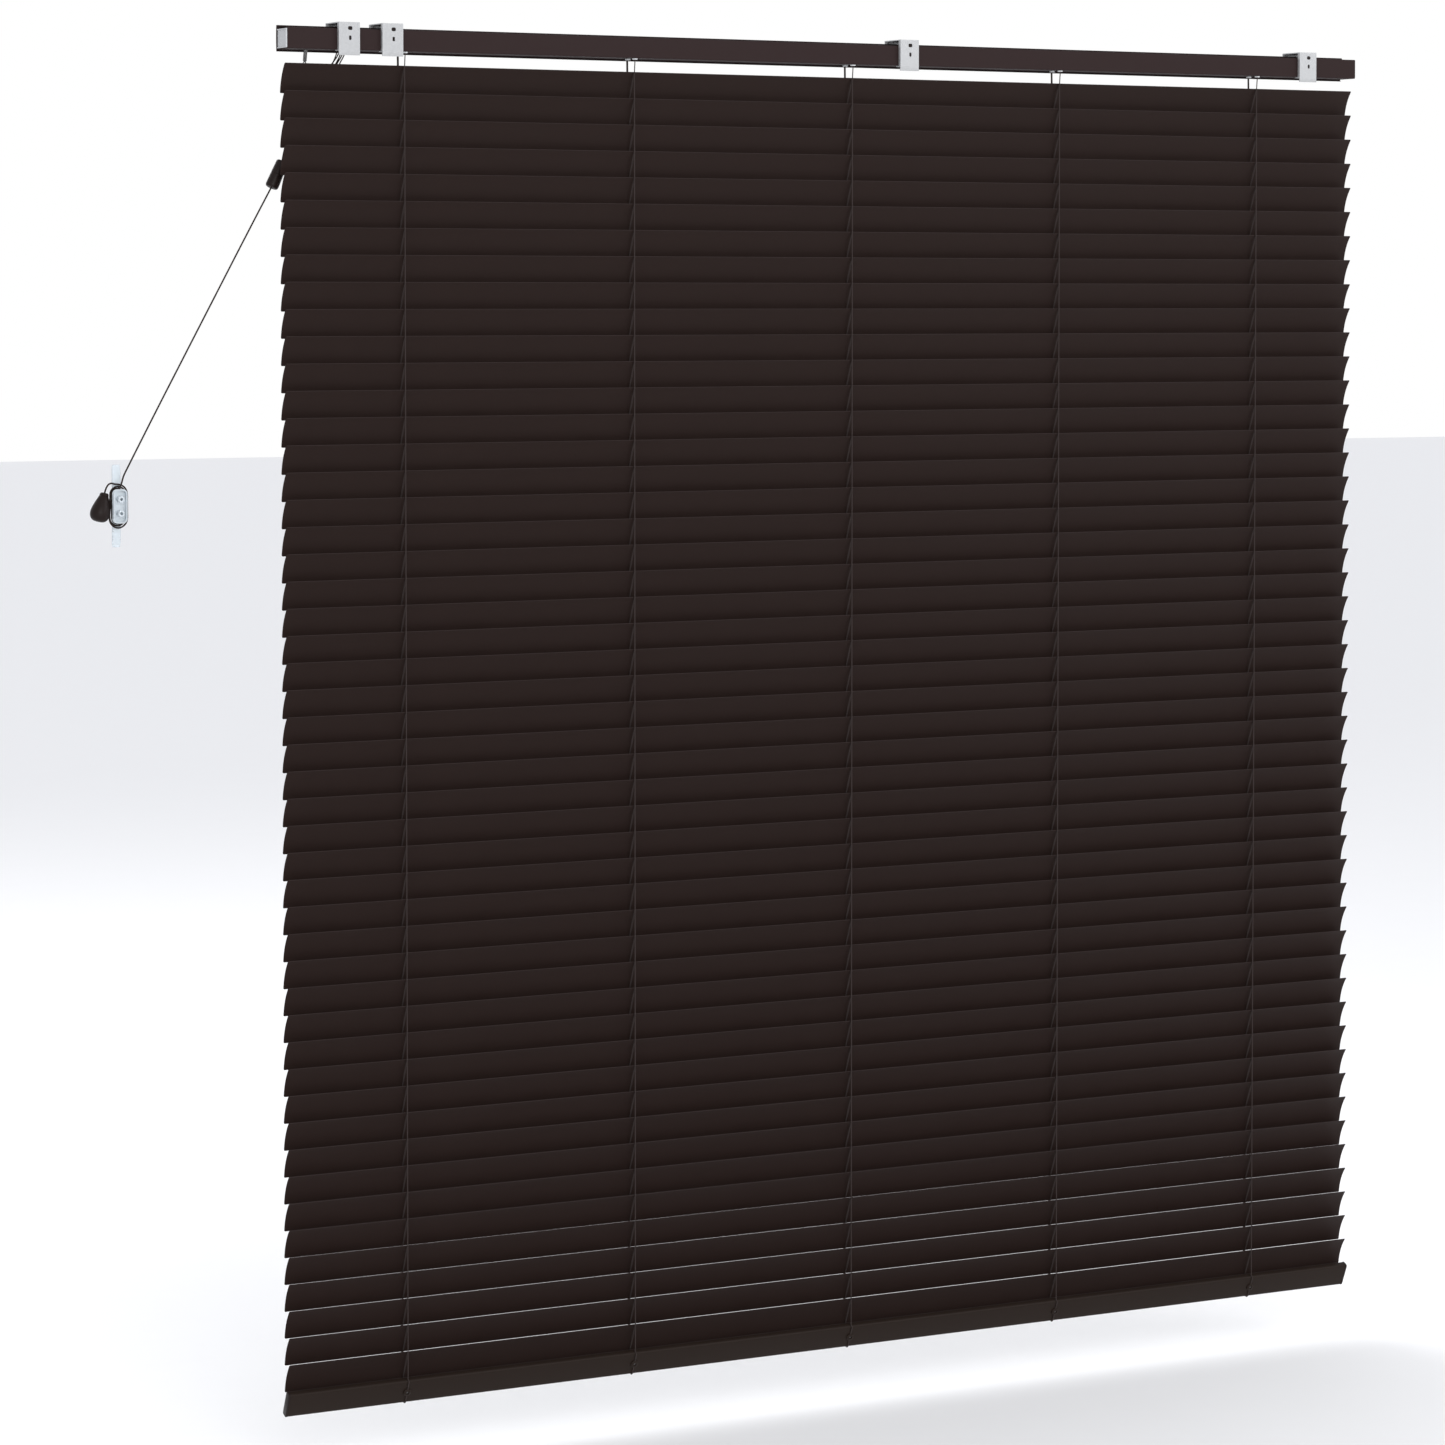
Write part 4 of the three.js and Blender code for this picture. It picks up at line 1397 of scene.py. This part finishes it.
    def eyelets(self, number: int, x: float) -> None:
        """Makes the two pale eyelets of a station, under the drum's two sides.

        Args:
            number: the station's number.
            x: its place.
        """
        profile = [
            (0.0011, 0.0009), (0.0014, 0.0001), (0.0018, 0.0), (0.0027, 0.0),
            (0.0031, 0.0004), (0.0031, 0.0012), (0.0024, 0.0016), (0.0024, 0.0028),
        ]
        shape = Shape()
        for side in (WALL, ROOM):
            shape.turned(profile, Vector((x, AXIS_Y + side * 0.0087, self.floor_z - 0.0014)), UP, 20)
        fit(shape.made(f"eyelets_{number}", LIGHT_STRIP, 50), "headrail", "clear")


@dataclass
class Brackets:
    """The zinc plated brackets that hold the headrail to the wall."""

    width: float = 0.0245
    sheet: float = 0.0012
    top_z: float = 0.0172
    bottom_z: float = -0.0183
    flange: float = 0.003
    tab: float = 0.0100
    face_side: float = 0.006
    slot_side: float = -0.001
    slots: tuple[tuple[float, float, float], ...] = ((0.0052, 0.0041, 0.0065), (0.0029, 0.0048, 0.0169))
    lip_hole: tuple[float, float, float] = (0.0064, 0.0024, 0.0012)
    # The dark block behind the slots, painted shade seen through them: its half width, its room side Y and its
    # lowest Z.
    painted_shade_block: tuple[float, float, float] = (0.0045, -0.0026, -0.0030)
    rivet: tuple[tuple[float, float], ...] = (
        (0.0005, 0), (0.0004, 0.0004), (-0.0001, 0.0005),
        (-0.0001, 0.0016), (0.0005, 0.0017), (0.0003, 0.0022),
    )

    def build(self) -> None:
        """Makes one bracket and places it at each bracket's mount."""
        half, sheet = self.width / 2, self.sheet
        front = CHANNEL.front_y - 0.0001
        plate = Shape().box((-half, -sheet, self.bottom_z), (half, 0, self.top_z))
        added = [
            Shape().box((-half, front - sheet, self.top_z - sheet), (half, 0, self.top_z)),
            Shape().box((-half, front - sheet, CHANNEL.fascia_high - sheet), (half, front, self.top_z)),
            Shape().box((-half, -self.tab, CHANNEL.floor_z - sheet), (half, 0, CHANNEL.floor_z)),
        ]
        for side in (-1, 1):
            low_x, high_x = sorted((side * half, side * (half - sheet)))
            corner = (low_x, -sheet - self.flange, CHANNEL.floor_z)
            added.append(Shape().box(corner, (high_x, 0, self.top_z)))
        removed = []
        for width, height, below in self.slots:
            outline = rounded_outline(width, height, 0.8 * min(width, height) / 2)
            removed.append(Shape().loft([
                [Vector((self.slot_side + u, y, self.top_z - below + v)) for u, v in outline]
                for y in (-0.003, CUT_PAST)
            ]))
        side, below, radius = self.lip_hole
        hole_at = Vector((side, front + CUT_PAST, self.top_z - below))
        removed.append(Shape().bar(radius, 0, 0.004, hole_at, TO_ROOM, 20))
        first = carved("bracket", plate, ZINC, added, removed, bevel=0.00035)
        names = sorted(name for name in MOUNTS if name.startswith("bracket") and name.endswith("wall_face"))
        for number, name in enumerate(names, 1):
            piece = first if number == 1 else placed(f"bracket_{number}", first.data, ZINC)
            piece.name = f"bracket_{number}"
            piece.location.x = MOUNTS[name]["pos_m"][0] - self.face_side
            fit(piece, "headrail", "steel")
            # A dark brown block behind the slots stands in for the shade seen through them.
            middle, (wide, low_y, low_z) = piece.location.x + self.slot_side, self.painted_shade_block
            painted_shade_block = Shape().box((middle - wide, low_y, low_z), (middle + wide, -sheet, self.top_z - sheet))
            fit(painted_shade_block.made(f"bracket_liner_{number}", BROWN_PLASTIC), "headrail", "dark")
            at = Vector((piece.location.x + side, front + 0.0003, self.top_z - below))
            profile = [(radius + wider, along) for wider, along in self.rivet]
            rivet = Shape().turned(profile, at, TO_ROOM, 20)
            fit(rivet.made(f"bracket_rivet_{number}", INNER_PLASTIC, 35), "headrail", "dark")


@dataclass
class CordLock:
    """The lock's housing with its roller and its toothed pawl."""

    middle_x: float = 0.631
    length: float = 0.038
    half_width: float = 0.0115
    above_rod: float = 0.005
    mouth_half: float = 0.009
    mouth_y: tuple[float, float] = (-0.0290, -0.0235)
    bore: float = 0.0038
    roller_radius: float = 0.0014
    roller_half: float = 0.0083
    roller_at: tuple[float, float] = (0.0016, -0.0020)
    ridge: float = 0.00018
    ridges: int = 18
    pawl_half: float = 0.0080
    pawl_teeth: int = 6
    tooth_pitch: float = 0.0010

    def mouth(self, low: float, high: float) -> tuple[Corner, Corner]:
        """The corners of the slot that the lift cords leave through, between two heights."""
        x = self.middle_x
        return (x - self.mouth_half, self.mouth_y[0], low), (x + self.mouth_half, self.mouth_y[1], high)

    def build(self) -> None:
        """Makes the housing, the roller and the pawl."""
        x, top, floor = self.middle_x, ROD_Z + self.above_rod, CHANNEL.floor_top
        half = self.length / 2
        near, far = AXIS_Y - self.half_width, AXIS_Y + self.half_width
        body = Shape().box((x - half, near, floor), (x + half, far, top))
        bore_start = Vector((x - self.length, AXIS_Y, ROD_Z))
        removed = [
            Shape().box(*self.mouth(floor - CUT_PAST, top + CUT_PAST)),
            Shape().bar(self.bore, 0, 2 * self.length, bore_start, ALONG_X, 24),
        ]
        fit(carved("cord_lock_housing", body, INNER_PLASTIC, (), removed, 0.0007), "headrail", "dark")
        radii = [self.roller_radius + self.ridge * (k % 2) for k in range(2 * self.ridges)]
        knurled = ring_outline(radii, self.mouth_y[0] + self.roller_at[0], self.roller_at[1])
        start = x - self.roller_half
        roller = Shape().along_x(knurled, start, start + 2 * self.roller_half)
        fit(roller.made("cord_lock_roller", ROD_STEEL, 60), "headrail", "steel")
        y = self.mouth_y[1]
        teeth: Outline = [(y + 0.0002, 0.0030), (y - 0.0012, 0.0030)]
        for k in range(self.pawl_teeth):
            z = 0.0024 - self.tooth_pitch * k
            teeth += [(y - 0.0022, z), (y - 0.0013, z - 0.0005)]
        teeth.append((y + 0.0002, -0.0040))
        pawl = Shape().along_x(teeth, x - self.pawl_half, x + self.pawl_half)
        fit(pawl.made("cord_lock_pawl", ZINC, 20), "headrail", "steel")


@dataclass
class Tilter:
    """The tilt rod with its drums and cradles, and the worm gear, stem and wand that turn it."""

    middle_x: float = 0.668
    length: float = 0.026
    half_width: float = 0.0115
    above_rod: float = 0.008
    rod_radius: float = 0.0034
    rod_end_gap: float = 0.010
    drum_half: float = 0.007
    wheel_radius: float = 0.0052
    wheel_half: float = 0.004
    wheel_teeth: int = 14
    worm_half: float = 0.0056
    worm_radius: float = 0.0028
    stem_radius: float = 0.0021
    stem_foot: float = -0.0280
    wand_y: float = AXIS_Y - SLAT_WIDTH / 2 - 0.010
    wand_radius: float = 0.0038
    wand_flats: int = 6
    hook_radius: float = 0.00063
    clear: float = 0.0004
    wheel_clear: float = 0.0005
    tooth: float = 0.0009
    thread_on: float = 0.0022
    thread_radius: float = 0.00055
    thread_parts: int = 80
    eye_radius: float = 0.0014
    eye_wire: float = 0.0006
    eye_parts: int = 20
    cradle_half_x: float = 0.0090
    cradle_half_y: float = 0.010
    cradle_sheet: float = 0.0012
    cradle_rise: float = 0.006
    cradle_foot: float = 0.0016
    cradle_foot_top: float = -0.0085

    @property
    def worm_at(self) -> Vector:
        """The middle of the worm."""
        return Vector(JOINTS["stem_spin"]["pos_m"])

    @property
    def stem_down(self) -> Vector:
        """The direction of the leaning stem, downwards."""
        return Vector(JOINTS["stem_spin"]["axis"]).normalized()

    def build(self) -> None:
        """Makes everything that tilts the slats."""
        self.housing()
        self.rod()
        self.cradles()
        self.stem()
        self.wand()

    def housing(self) -> None:
        """Makes the tilter's housing, open over the worm wheel."""
        x, half = self.middle_x, self.length / 2
        body = Shape().box((x - half, AXIS_Y - self.half_width, CHANNEL.floor_top),
                           (x + half, AXIS_Y + self.half_width, ROD_Z + self.above_rod))
        rod, wheel = self.rod_radius + self.clear, self.wheel_radius + self.wheel_clear
        past = x - self.wheel_half - self.wheel_clear
        worm, stem = self.worm_radius + self.clear, self.stem_radius + self.clear
        removed = [
            Shape().bar(rod, 0, self.length - 0.002, Vector((x - half - CUT_PAST, AXIS_Y, ROD_Z)), ALONG_X),
            Shape().bar(wheel, 0, 2 * self.wheel_half + 0.001, Vector((past, AXIS_Y, ROD_Z)), ALONG_X),
            Shape().bar(worm, 0, 0.0145, self.worm_at - 0.0072 * self.stem_down, self.stem_down),
            Shape().bar(stem, 0, 0.024, self.worm_at, self.stem_down),
            Shape().box((x - self.wheel_half, AXIS_Y - 0.006, ROD_Z + 0.004),
                        (x + self.wheel_half, AXIS_Y + 0.004, ROD_Z + self.above_rod + CUT_PAST)),
        ]
        fit(carved("tilter_housing", body, INNER_PLASTIC, (), removed, 0.0009), "headrail", "dark")

    def rod(self) -> None:
        """Makes the hexagonal rod, the flanged drums and the toothed wheel."""
        hexagon = ring_outline([self.rod_radius] * 6, AXIS_Y, ROD_Z)
        end = self.middle_x + self.length / 2 - 0.004
        rod = Shape().along_x(hexagon, -HALF_LENGTH + self.rod_end_gap, end)
        fit(rod.made("rod", ROD_STEEL, 30), "tilt_rod", "steel", "tilt_rod")
        drum = [
            (0.0040, 0), (0.0083, 0), (0.0085, 0.0003), (0.0085, 0.0012), (0.0079, 0.0016),
            (0.0077, 0.0030), (0.0077, 0.0110), (0.0079, 0.0124), (0.0085, 0.0128), (0.0085, 0.0137),
            (0.0083, 0.0140), (0.0040, 0.0140),
        ]
        for number, x in enumerate(STATIONS, 1):
            shape = Shape().turned(drum, Vector((x - self.drum_half, AXIS_Y, ROD_Z)), ALONG_X, 32)
            fit(shape.made(f"drum_{number}", PALE_PLASTIC, 35), "tilt_rod", "clear")
        radii = [
            self.wheel_radius - (self.tooth if k % 4 in (0, 3) else 0.0)
            for k in range(4 * self.wheel_teeth)
        ]
        toothed = ring_outline(radii, AXIS_Y, ROD_Z, 0.5)
        wheel = Shape().along_x(toothed, self.middle_x - self.wheel_half, self.middle_x + self.wheel_half)
        fit(wheel.made("worm_wheel", BROWN_PLASTIC, 30), "tilt_rod", "dark")

    def cradles(self) -> None:
        """Makes one rod cradle and places it at each station."""
        offset, floor = self.cradle_half_x, CHANNEL.floor_top
        near, far = AXIS_Y - self.cradle_half_y, AXIS_Y + self.cradle_half_y
        foot, foot_top = self.cradle_foot, self.cradle_foot_top
        base = Shape().box((-offset, near, floor), (offset, near + foot, foot_top))
        added = [Shape().box((-offset, far - foot, floor), (offset, far, foot_top))]
        half, top = self.cradle_sheet / 2, ROD_Z + self.cradle_rise
        for middle in (-offset, offset):
            added.append(Shape().box((middle - half, near, floor), (middle + half, far, top)))
        start = Vector((-0.015, AXIS_Y, ROD_Z))
        bore = Shape().bar(self.rod_radius + self.clear, 0, 0.03, start, ALONG_X)
        first = carved("cradle", base, ZINC, added, [bore], 0.0003)
        for number, x in enumerate(STATIONS, 1):
            piece = first if number == 1 else placed(f"rod_cradle_{number}", first.data, ZINC)
            piece.name = f"rod_cradle_{number}"
            piece.location.x = x
            fit(piece, "headrail", "steel")

    def stem(self) -> None:
        """Makes the worm with its thread, the stem and the eye at its foot."""
        down, at = self.stem_down, self.worm_at
        reach = (at.z - self.stem_foot) / -down.z
        profile = [
            (0.0014, -self.worm_half - 0.0004),
            (self.thread_on, -self.worm_half), (self.thread_on, self.worm_half),
            (self.stem_radius, self.worm_half + 0.0006), (self.stem_radius, reach - 0.0042),
            (0.0014, reach - 0.0034), (0.0011, reach - 0.0030),
        ]
        shape = Shape().turned(profile, at, down, 20)
        first = down.orthogonal().normalized()
        second = down.cross(first)
        pitch = TURN * self.wheel_radius / self.wheel_teeth
        turns = 2 * self.worm_half / pitch
        thread = []
        for k in range(self.thread_parts + 1):
            angle = TURN * turns * k / self.thread_parts
            along = -self.worm_half + 2 * self.worm_half * k / self.thread_parts
            around = math.cos(angle) * first + math.sin(angle) * second
            thread.append(at + down * along + self.thread_on * around)
        shape.tube(thread, self.thread_radius, 6)
        eye = at + down * (reach - 0.0018)
        ring = []
        for k in range(self.eye_parts + 1):
            angle = TURN * k / self.eye_parts
            ring.append(eye + self.eye_radius * (math.cos(angle) * down + math.sin(angle) * ALONG_X))
        shape.tube(ring, self.eye_wire, 8)
        fit(shape.made("worm_stem", SMOKED, 40), "tilter_stem", "clear", "tilter_stem")

    def wand(self) -> None:
        """Makes the wire hook, the fluted wand, its collar and its grip."""
        hang = Vector(JOINTS["wand_swing"]["pos_m"])
        top_z = hang.z - 0.014
        foot_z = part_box("tilt_wand")[0].z
        x, y = self.middle_x, self.wand_y
        hook = smooth_path([
            Vector((x, hang.y + 0.0016, hang.z - 0.0002)), Vector((x, hang.y + 0.0009, hang.z + 0.0014)),
            Vector((x, hang.y - 0.0008, hang.z + 0.0014)), Vector((x, hang.y - 0.0022, hang.z - 0.0012)),
            Vector((x, y + 0.0046, hang.z - 0.0052)), Vector((x, y + 0.0010, hang.z - 0.0090)),
            Vector((x, y, top_z - 0.0010)), Vector((x, y, top_z - 0.0060)),
        ], 0.0006)
        piece = Shape().tube(hook, self.hook_radius, 10).made("wand_hook", ROD_STEEL)
        fit(piece, "tilt_wand", "steel")
        rings = []
        levels = ((top_z, 0.80), (top_z - 0.0012, 1.0), (foot_z + 0.036, 1.0), (foot_z + 0.034, 0.96))
        for z, scale in levels:
            flats = ring_outline([scale * self.wand_radius] * self.wand_flats, x, y)
            rings.append([Vector((u, v, z)) for u, v in flats])
        fit(Shape().loft(rings).made("wand_rod", CLEAR, 25), "tilt_wand", "clear", "tilt_wand")
        grip = [
            (0.0030, 0.0), (0.0044, 0.0004), (0.0050, 0.0014), (0.0052, 0.0040), (0.0048, 0.0120),
            (0.0043, 0.0240), (0.0042, 0.0330), (0.0046, 0.0345), (0.0046, 0.0365), (0.0042, 0.0372),
            (0.0036, 0.0372),
        ]
        shape = Shape().turned(grip, Vector((x, y, foot_z)), UP, 28)
        fit(shape.made("wand_grip", CLEAR, 35), "tilt_wand", "clear")


# ------------------------------------------------------------------ bottom rail


@dataclass
class BottomRail:
    """The closed bottom rail with its caps, its cord buttons and the cords that end in them."""

    width: float = 0.0285
    thickness: float = 0.009
    corner: float = 0.0026
    cap: float = 0.0015
    proud: float = 0.0003
    drawn_in: float = 0.0005
    button_radius: float = 0.0046
    cord_radius: float = 0.00065
    cord_off: float = 0.0007
    axis: Vector = field(default_factory=lambda: Vector(JOINTS["bottom_rail_tilt"]["pos_m"]))

    def tilted(self, outline: Outline) -> Outline:
        """An outline in the rail's own directions, taken to (y, z) points."""
        return [tuple(on_tilted(u, n, self.axis).yz) for u, n in outline]

    def build(self) -> None:
        """Makes the rail and everything on it."""
        skin = self.tilted(rounded_outline(self.width, self.thickness, self.corner, 6))
        rail = Shape().along_x(skin, -HALF_LENGTH, HALF_LENGTH).made("bottom_rail_tube", BOTTOM_ENAMEL, 35)
        fit(rail, "bottom_rail", "bottom", "bottom_rail")
        width, thickness, corner = self.width, self.thickness, self.corner
        lid, inset = (
            self.tilted(rounded_outline(width + 2 * out, thickness + 2 * out, corner + out, 6))
            for out in (self.proud, -self.drawn_in)
        )
        for side, label in ((-1, "far"), (1, "lock")):
            near, far = side * (HALF_LENGTH - 0.0004), side * (HALF_LENGTH + self.cap)
            levels = ((near, lid), (far - side * self.drawn_in, lid), (far, inset))
            rings = [[Vector((x, y, z)) for y, z in line] for x, line in levels]
            fit(Shape().loft(rings).made(f"bottom_cap_{label}", BROWN_PLASTIC, 35), "bottom_rail", "dark")
        for number, x in enumerate(STATIONS, 1):
            self.station(number, x)

    def station(self, number: int, x: float) -> None:
        """Makes the button of a station and the ends of its ladder cords.

        Args:
            number: the station's number.
            x: its place.
        """
        under = -self.thickness / 2
        out = (on_tilted(0, -1, self.axis) - on_tilted(0, 0, self.axis)).normalized()
        r = self.button_radius
        at = on_tilted(0, under, self.axis, x)
        profile = [
            (r - 0.0004, -0.0006), (r, 0.0003), (r - 0.0002, 0.0012), (r - 0.0010, 0.0018),
            (0.0024, 0.0021), (0.0017, 0.0019), (0.0015, 0.0004),
        ]
        button = Shape().turned(profile, at, out, 28)
        fit(button.made(f"cord_button_{number}", BOTTOM_ENAMEL, 35), "bottom_rail", "dark")
        plug = Shape().turned([(0.0013, 0.0002), (0.0013, 0.0009), (0.0006, 0.0013)], at, out, 14)
        fit(plug.made(f"button_plug_{number}", INNER_PLASTIC, 35), "bottom_rail", "dark")
        half, off = self.width / 2, self.cord_off
        below, above = under - off, -under + off
        wall = [
            (half + 0.0022, 0.0), (half + 0.0008, -0.0012), (half + 0.0001, under + 0.0012),
            (half - 0.0014, below), (half - 0.005, below), (0.0040, below),
        ]
        room = [
            (-0.0076, above), (-half + 0.0020, above), (-half - 0.0004, -under - 0.0012),
            (-half - off, 0.0), (-half - 0.0004, under + 0.0012), (-half + 0.0018, below),
            (-half + 0.005, below), (-0.0040, below),
        ]
        for label, stops in (("wall", wall), ("room", room)):
            path = smooth_path([on_tilted(u, n, self.axis, x) for u, n in stops], 0.0007)
            shape = Shape().tube(path, self.cord_radius, 8)
            fit(shape.made(f"ladder_end_{label}_{number}", LADDER_BRAID), "bottom_rail", "cord")


# ------------------------------------------------------------------ cleat


@dataclass
class Cleat:
    """The moulded cleat: a hollow base with two screw lugs, a neck and two horns."""

    middle: tuple[float, float] = (0.892, -0.497)
    base: tuple[float, float, float] = (0.0157, 0.0360, 0.005)
    neck: tuple[float, float, float] = (0.0110, 0.0324, 0.005)
    rim_y: float = -0.003
    flange_y: float = -0.008
    horn_y: float = -0.014
    horn_half: float = 0.0435
    horn_width: float = 0.010
    horn_thickness: float = 0.0032
    lug_radius: float = 0.0036
    lug_apart: float = 0.0149
    screw_radius: float = 0.0016
    shell: float = 0.0015
    horn_parts: int = 30
    horn_sides: int = 24

    def block(self, size: tuple[float, float, float], levels: Sequence[tuple[float, float]]) -> Shape:
        """A rounded block pushed along Y.

        Args:
            size: its width, its height and its corners' radius.
            levels: each level's Y and how far its outline is drawn in there.

        Returns:
            The block.
        """
        x, z = self.middle
        width, height, corner = size
        rings = []
        for y, drawn in levels:
            outline = rounded_outline(width - 2 * drawn, height - 2 * drawn, corner - drawn)
            rings.append([Vector((x + u, y, z + v)) for u, v in outline])
        return Shape().loft(rings)

    def horns(self) -> Shape:
        """The two horns in one length, thinner and narrower to their rounded tips.

        Returns:
            The horns' shape.
        """
        x, z = self.middle
        rings, steps, sides = [], self.horn_parts, self.horn_sides
        for k in range(steps + 1):
            t = math.sin(math.pi / 2 * (2 * k / steps - 1))
            end = 0.78 + 0.22 * math.sqrt(max(0.0, 1 - abs(t) ** 24))
            half_width = self.horn_width / 2 * end * (1 - 0.06 * t * t)
            half_depth = self.horn_thickness / 2 * end * (1 - 0.25 * t * t)
            middle_y = self.horn_y - self.horn_thickness / 2 - 0.0012 * t**4
            rings.append([
                Vector((x + half_width * signed_power(math.cos(TURN * j / sides), 0.7),
                        middle_y + half_depth * signed_power(math.sin(TURN * j / sides), 0.7),
                        z + self.horn_half * t))
                for j in range(sides)
            ])
        return Shape().loft(rings)

    def build(self) -> None:
        """Makes the cleat."""
        x, z = self.middle
        rim, flange, horn = self.rim_y, self.flange_y, self.horn_y
        body = self.block(self.base, (
            (rim, 0.0002), (rim - 0.0004, 0.0), (flange + 0.0006, 0.0), (flange, 0.0006),
        ))
        neck = self.block(self.neck, ((flange + CUT_PAST, 0.0), (horn - CUT_PAST, 0.0)))
        shell = self.shell
        hollow_size = (self.base[0] - 2 * shell, self.base[1] - 2 * shell, self.base[2] - shell)
        hollow = self.block(hollow_size, ((rim + CUT_PAST, 0.0), (flange + shell, 0.0)))
        heights = [z + side * self.lug_apart / 2 for side in (-1, 1)]
        lug = [(self.lug_radius - 0.0006, 0), (self.lug_radius, 0.0006), (self.lug_radius, 0.0075)]
        lugs = [Shape().turned(lug, Vector((x, 0, height)), TO_ROOM, 24) for height in heights]
        screws = [
            Shape().bar(self.screw_radius, 0, 0.020, Vector((x, CUT_PAST, height)), TO_ROOM, 20)
            for height in heights
        ]
        hollowed = carved("cleat_base", body, CLEAT_RESIN, removed=[hollow])
        shape = Shape()
        shape.points = [vertex.co.copy() for vertex in hollowed.data.vertices]
        shape.faces = [tuple(face.vertices) for face in hollowed.data.polygons]
        bpy.data.objects.remove(hollowed)
        piece = carved("cleat", shape, CLEAT_RESIN, [neck, self.horns(), *lugs], screws, sharp_deg=40.0)
        fit(piece, "headrail", "clear", "cord_cleat")


def signed_power(value: float, power: float) -> float:
    """A value to a power, with its sign kept."""
    return math.copysign(abs(value) ** power, value)


CHANNEL = Channel()
LOCK = CordLock()


def write_sizes() -> None:
    """Writes the frame's box and the finished blind's box."""
    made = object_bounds()
    boxes = {"cad": [list(corner) for corner in CAD_BOX], "visual": [list(corner) for corner in made]}
    for name, box in boxes.items():
        log.info("%s box %s", name, box)


def main() -> None:
    """Builds the camera, the cords and then the rest of the blind."""
    logging.basicConfig(level=logging.INFO, format="%(message)s")
    bpy.context.scene.view_settings.view_transform = "Standard"
    studio = Studio()
    studio.camera()
    for assembly in (
        PullCords(), Ladders(), Slats(), CHANNEL, Brackets(), LOCK, Tilter(), BottomRail(), Cleat(),
    ):
        assembly.build()
        log.info("%s is built", type(assembly).__name__)
    studio.lights()
    studio.floor()
    write_sizes()


if __name__ == "__main__":
    main()
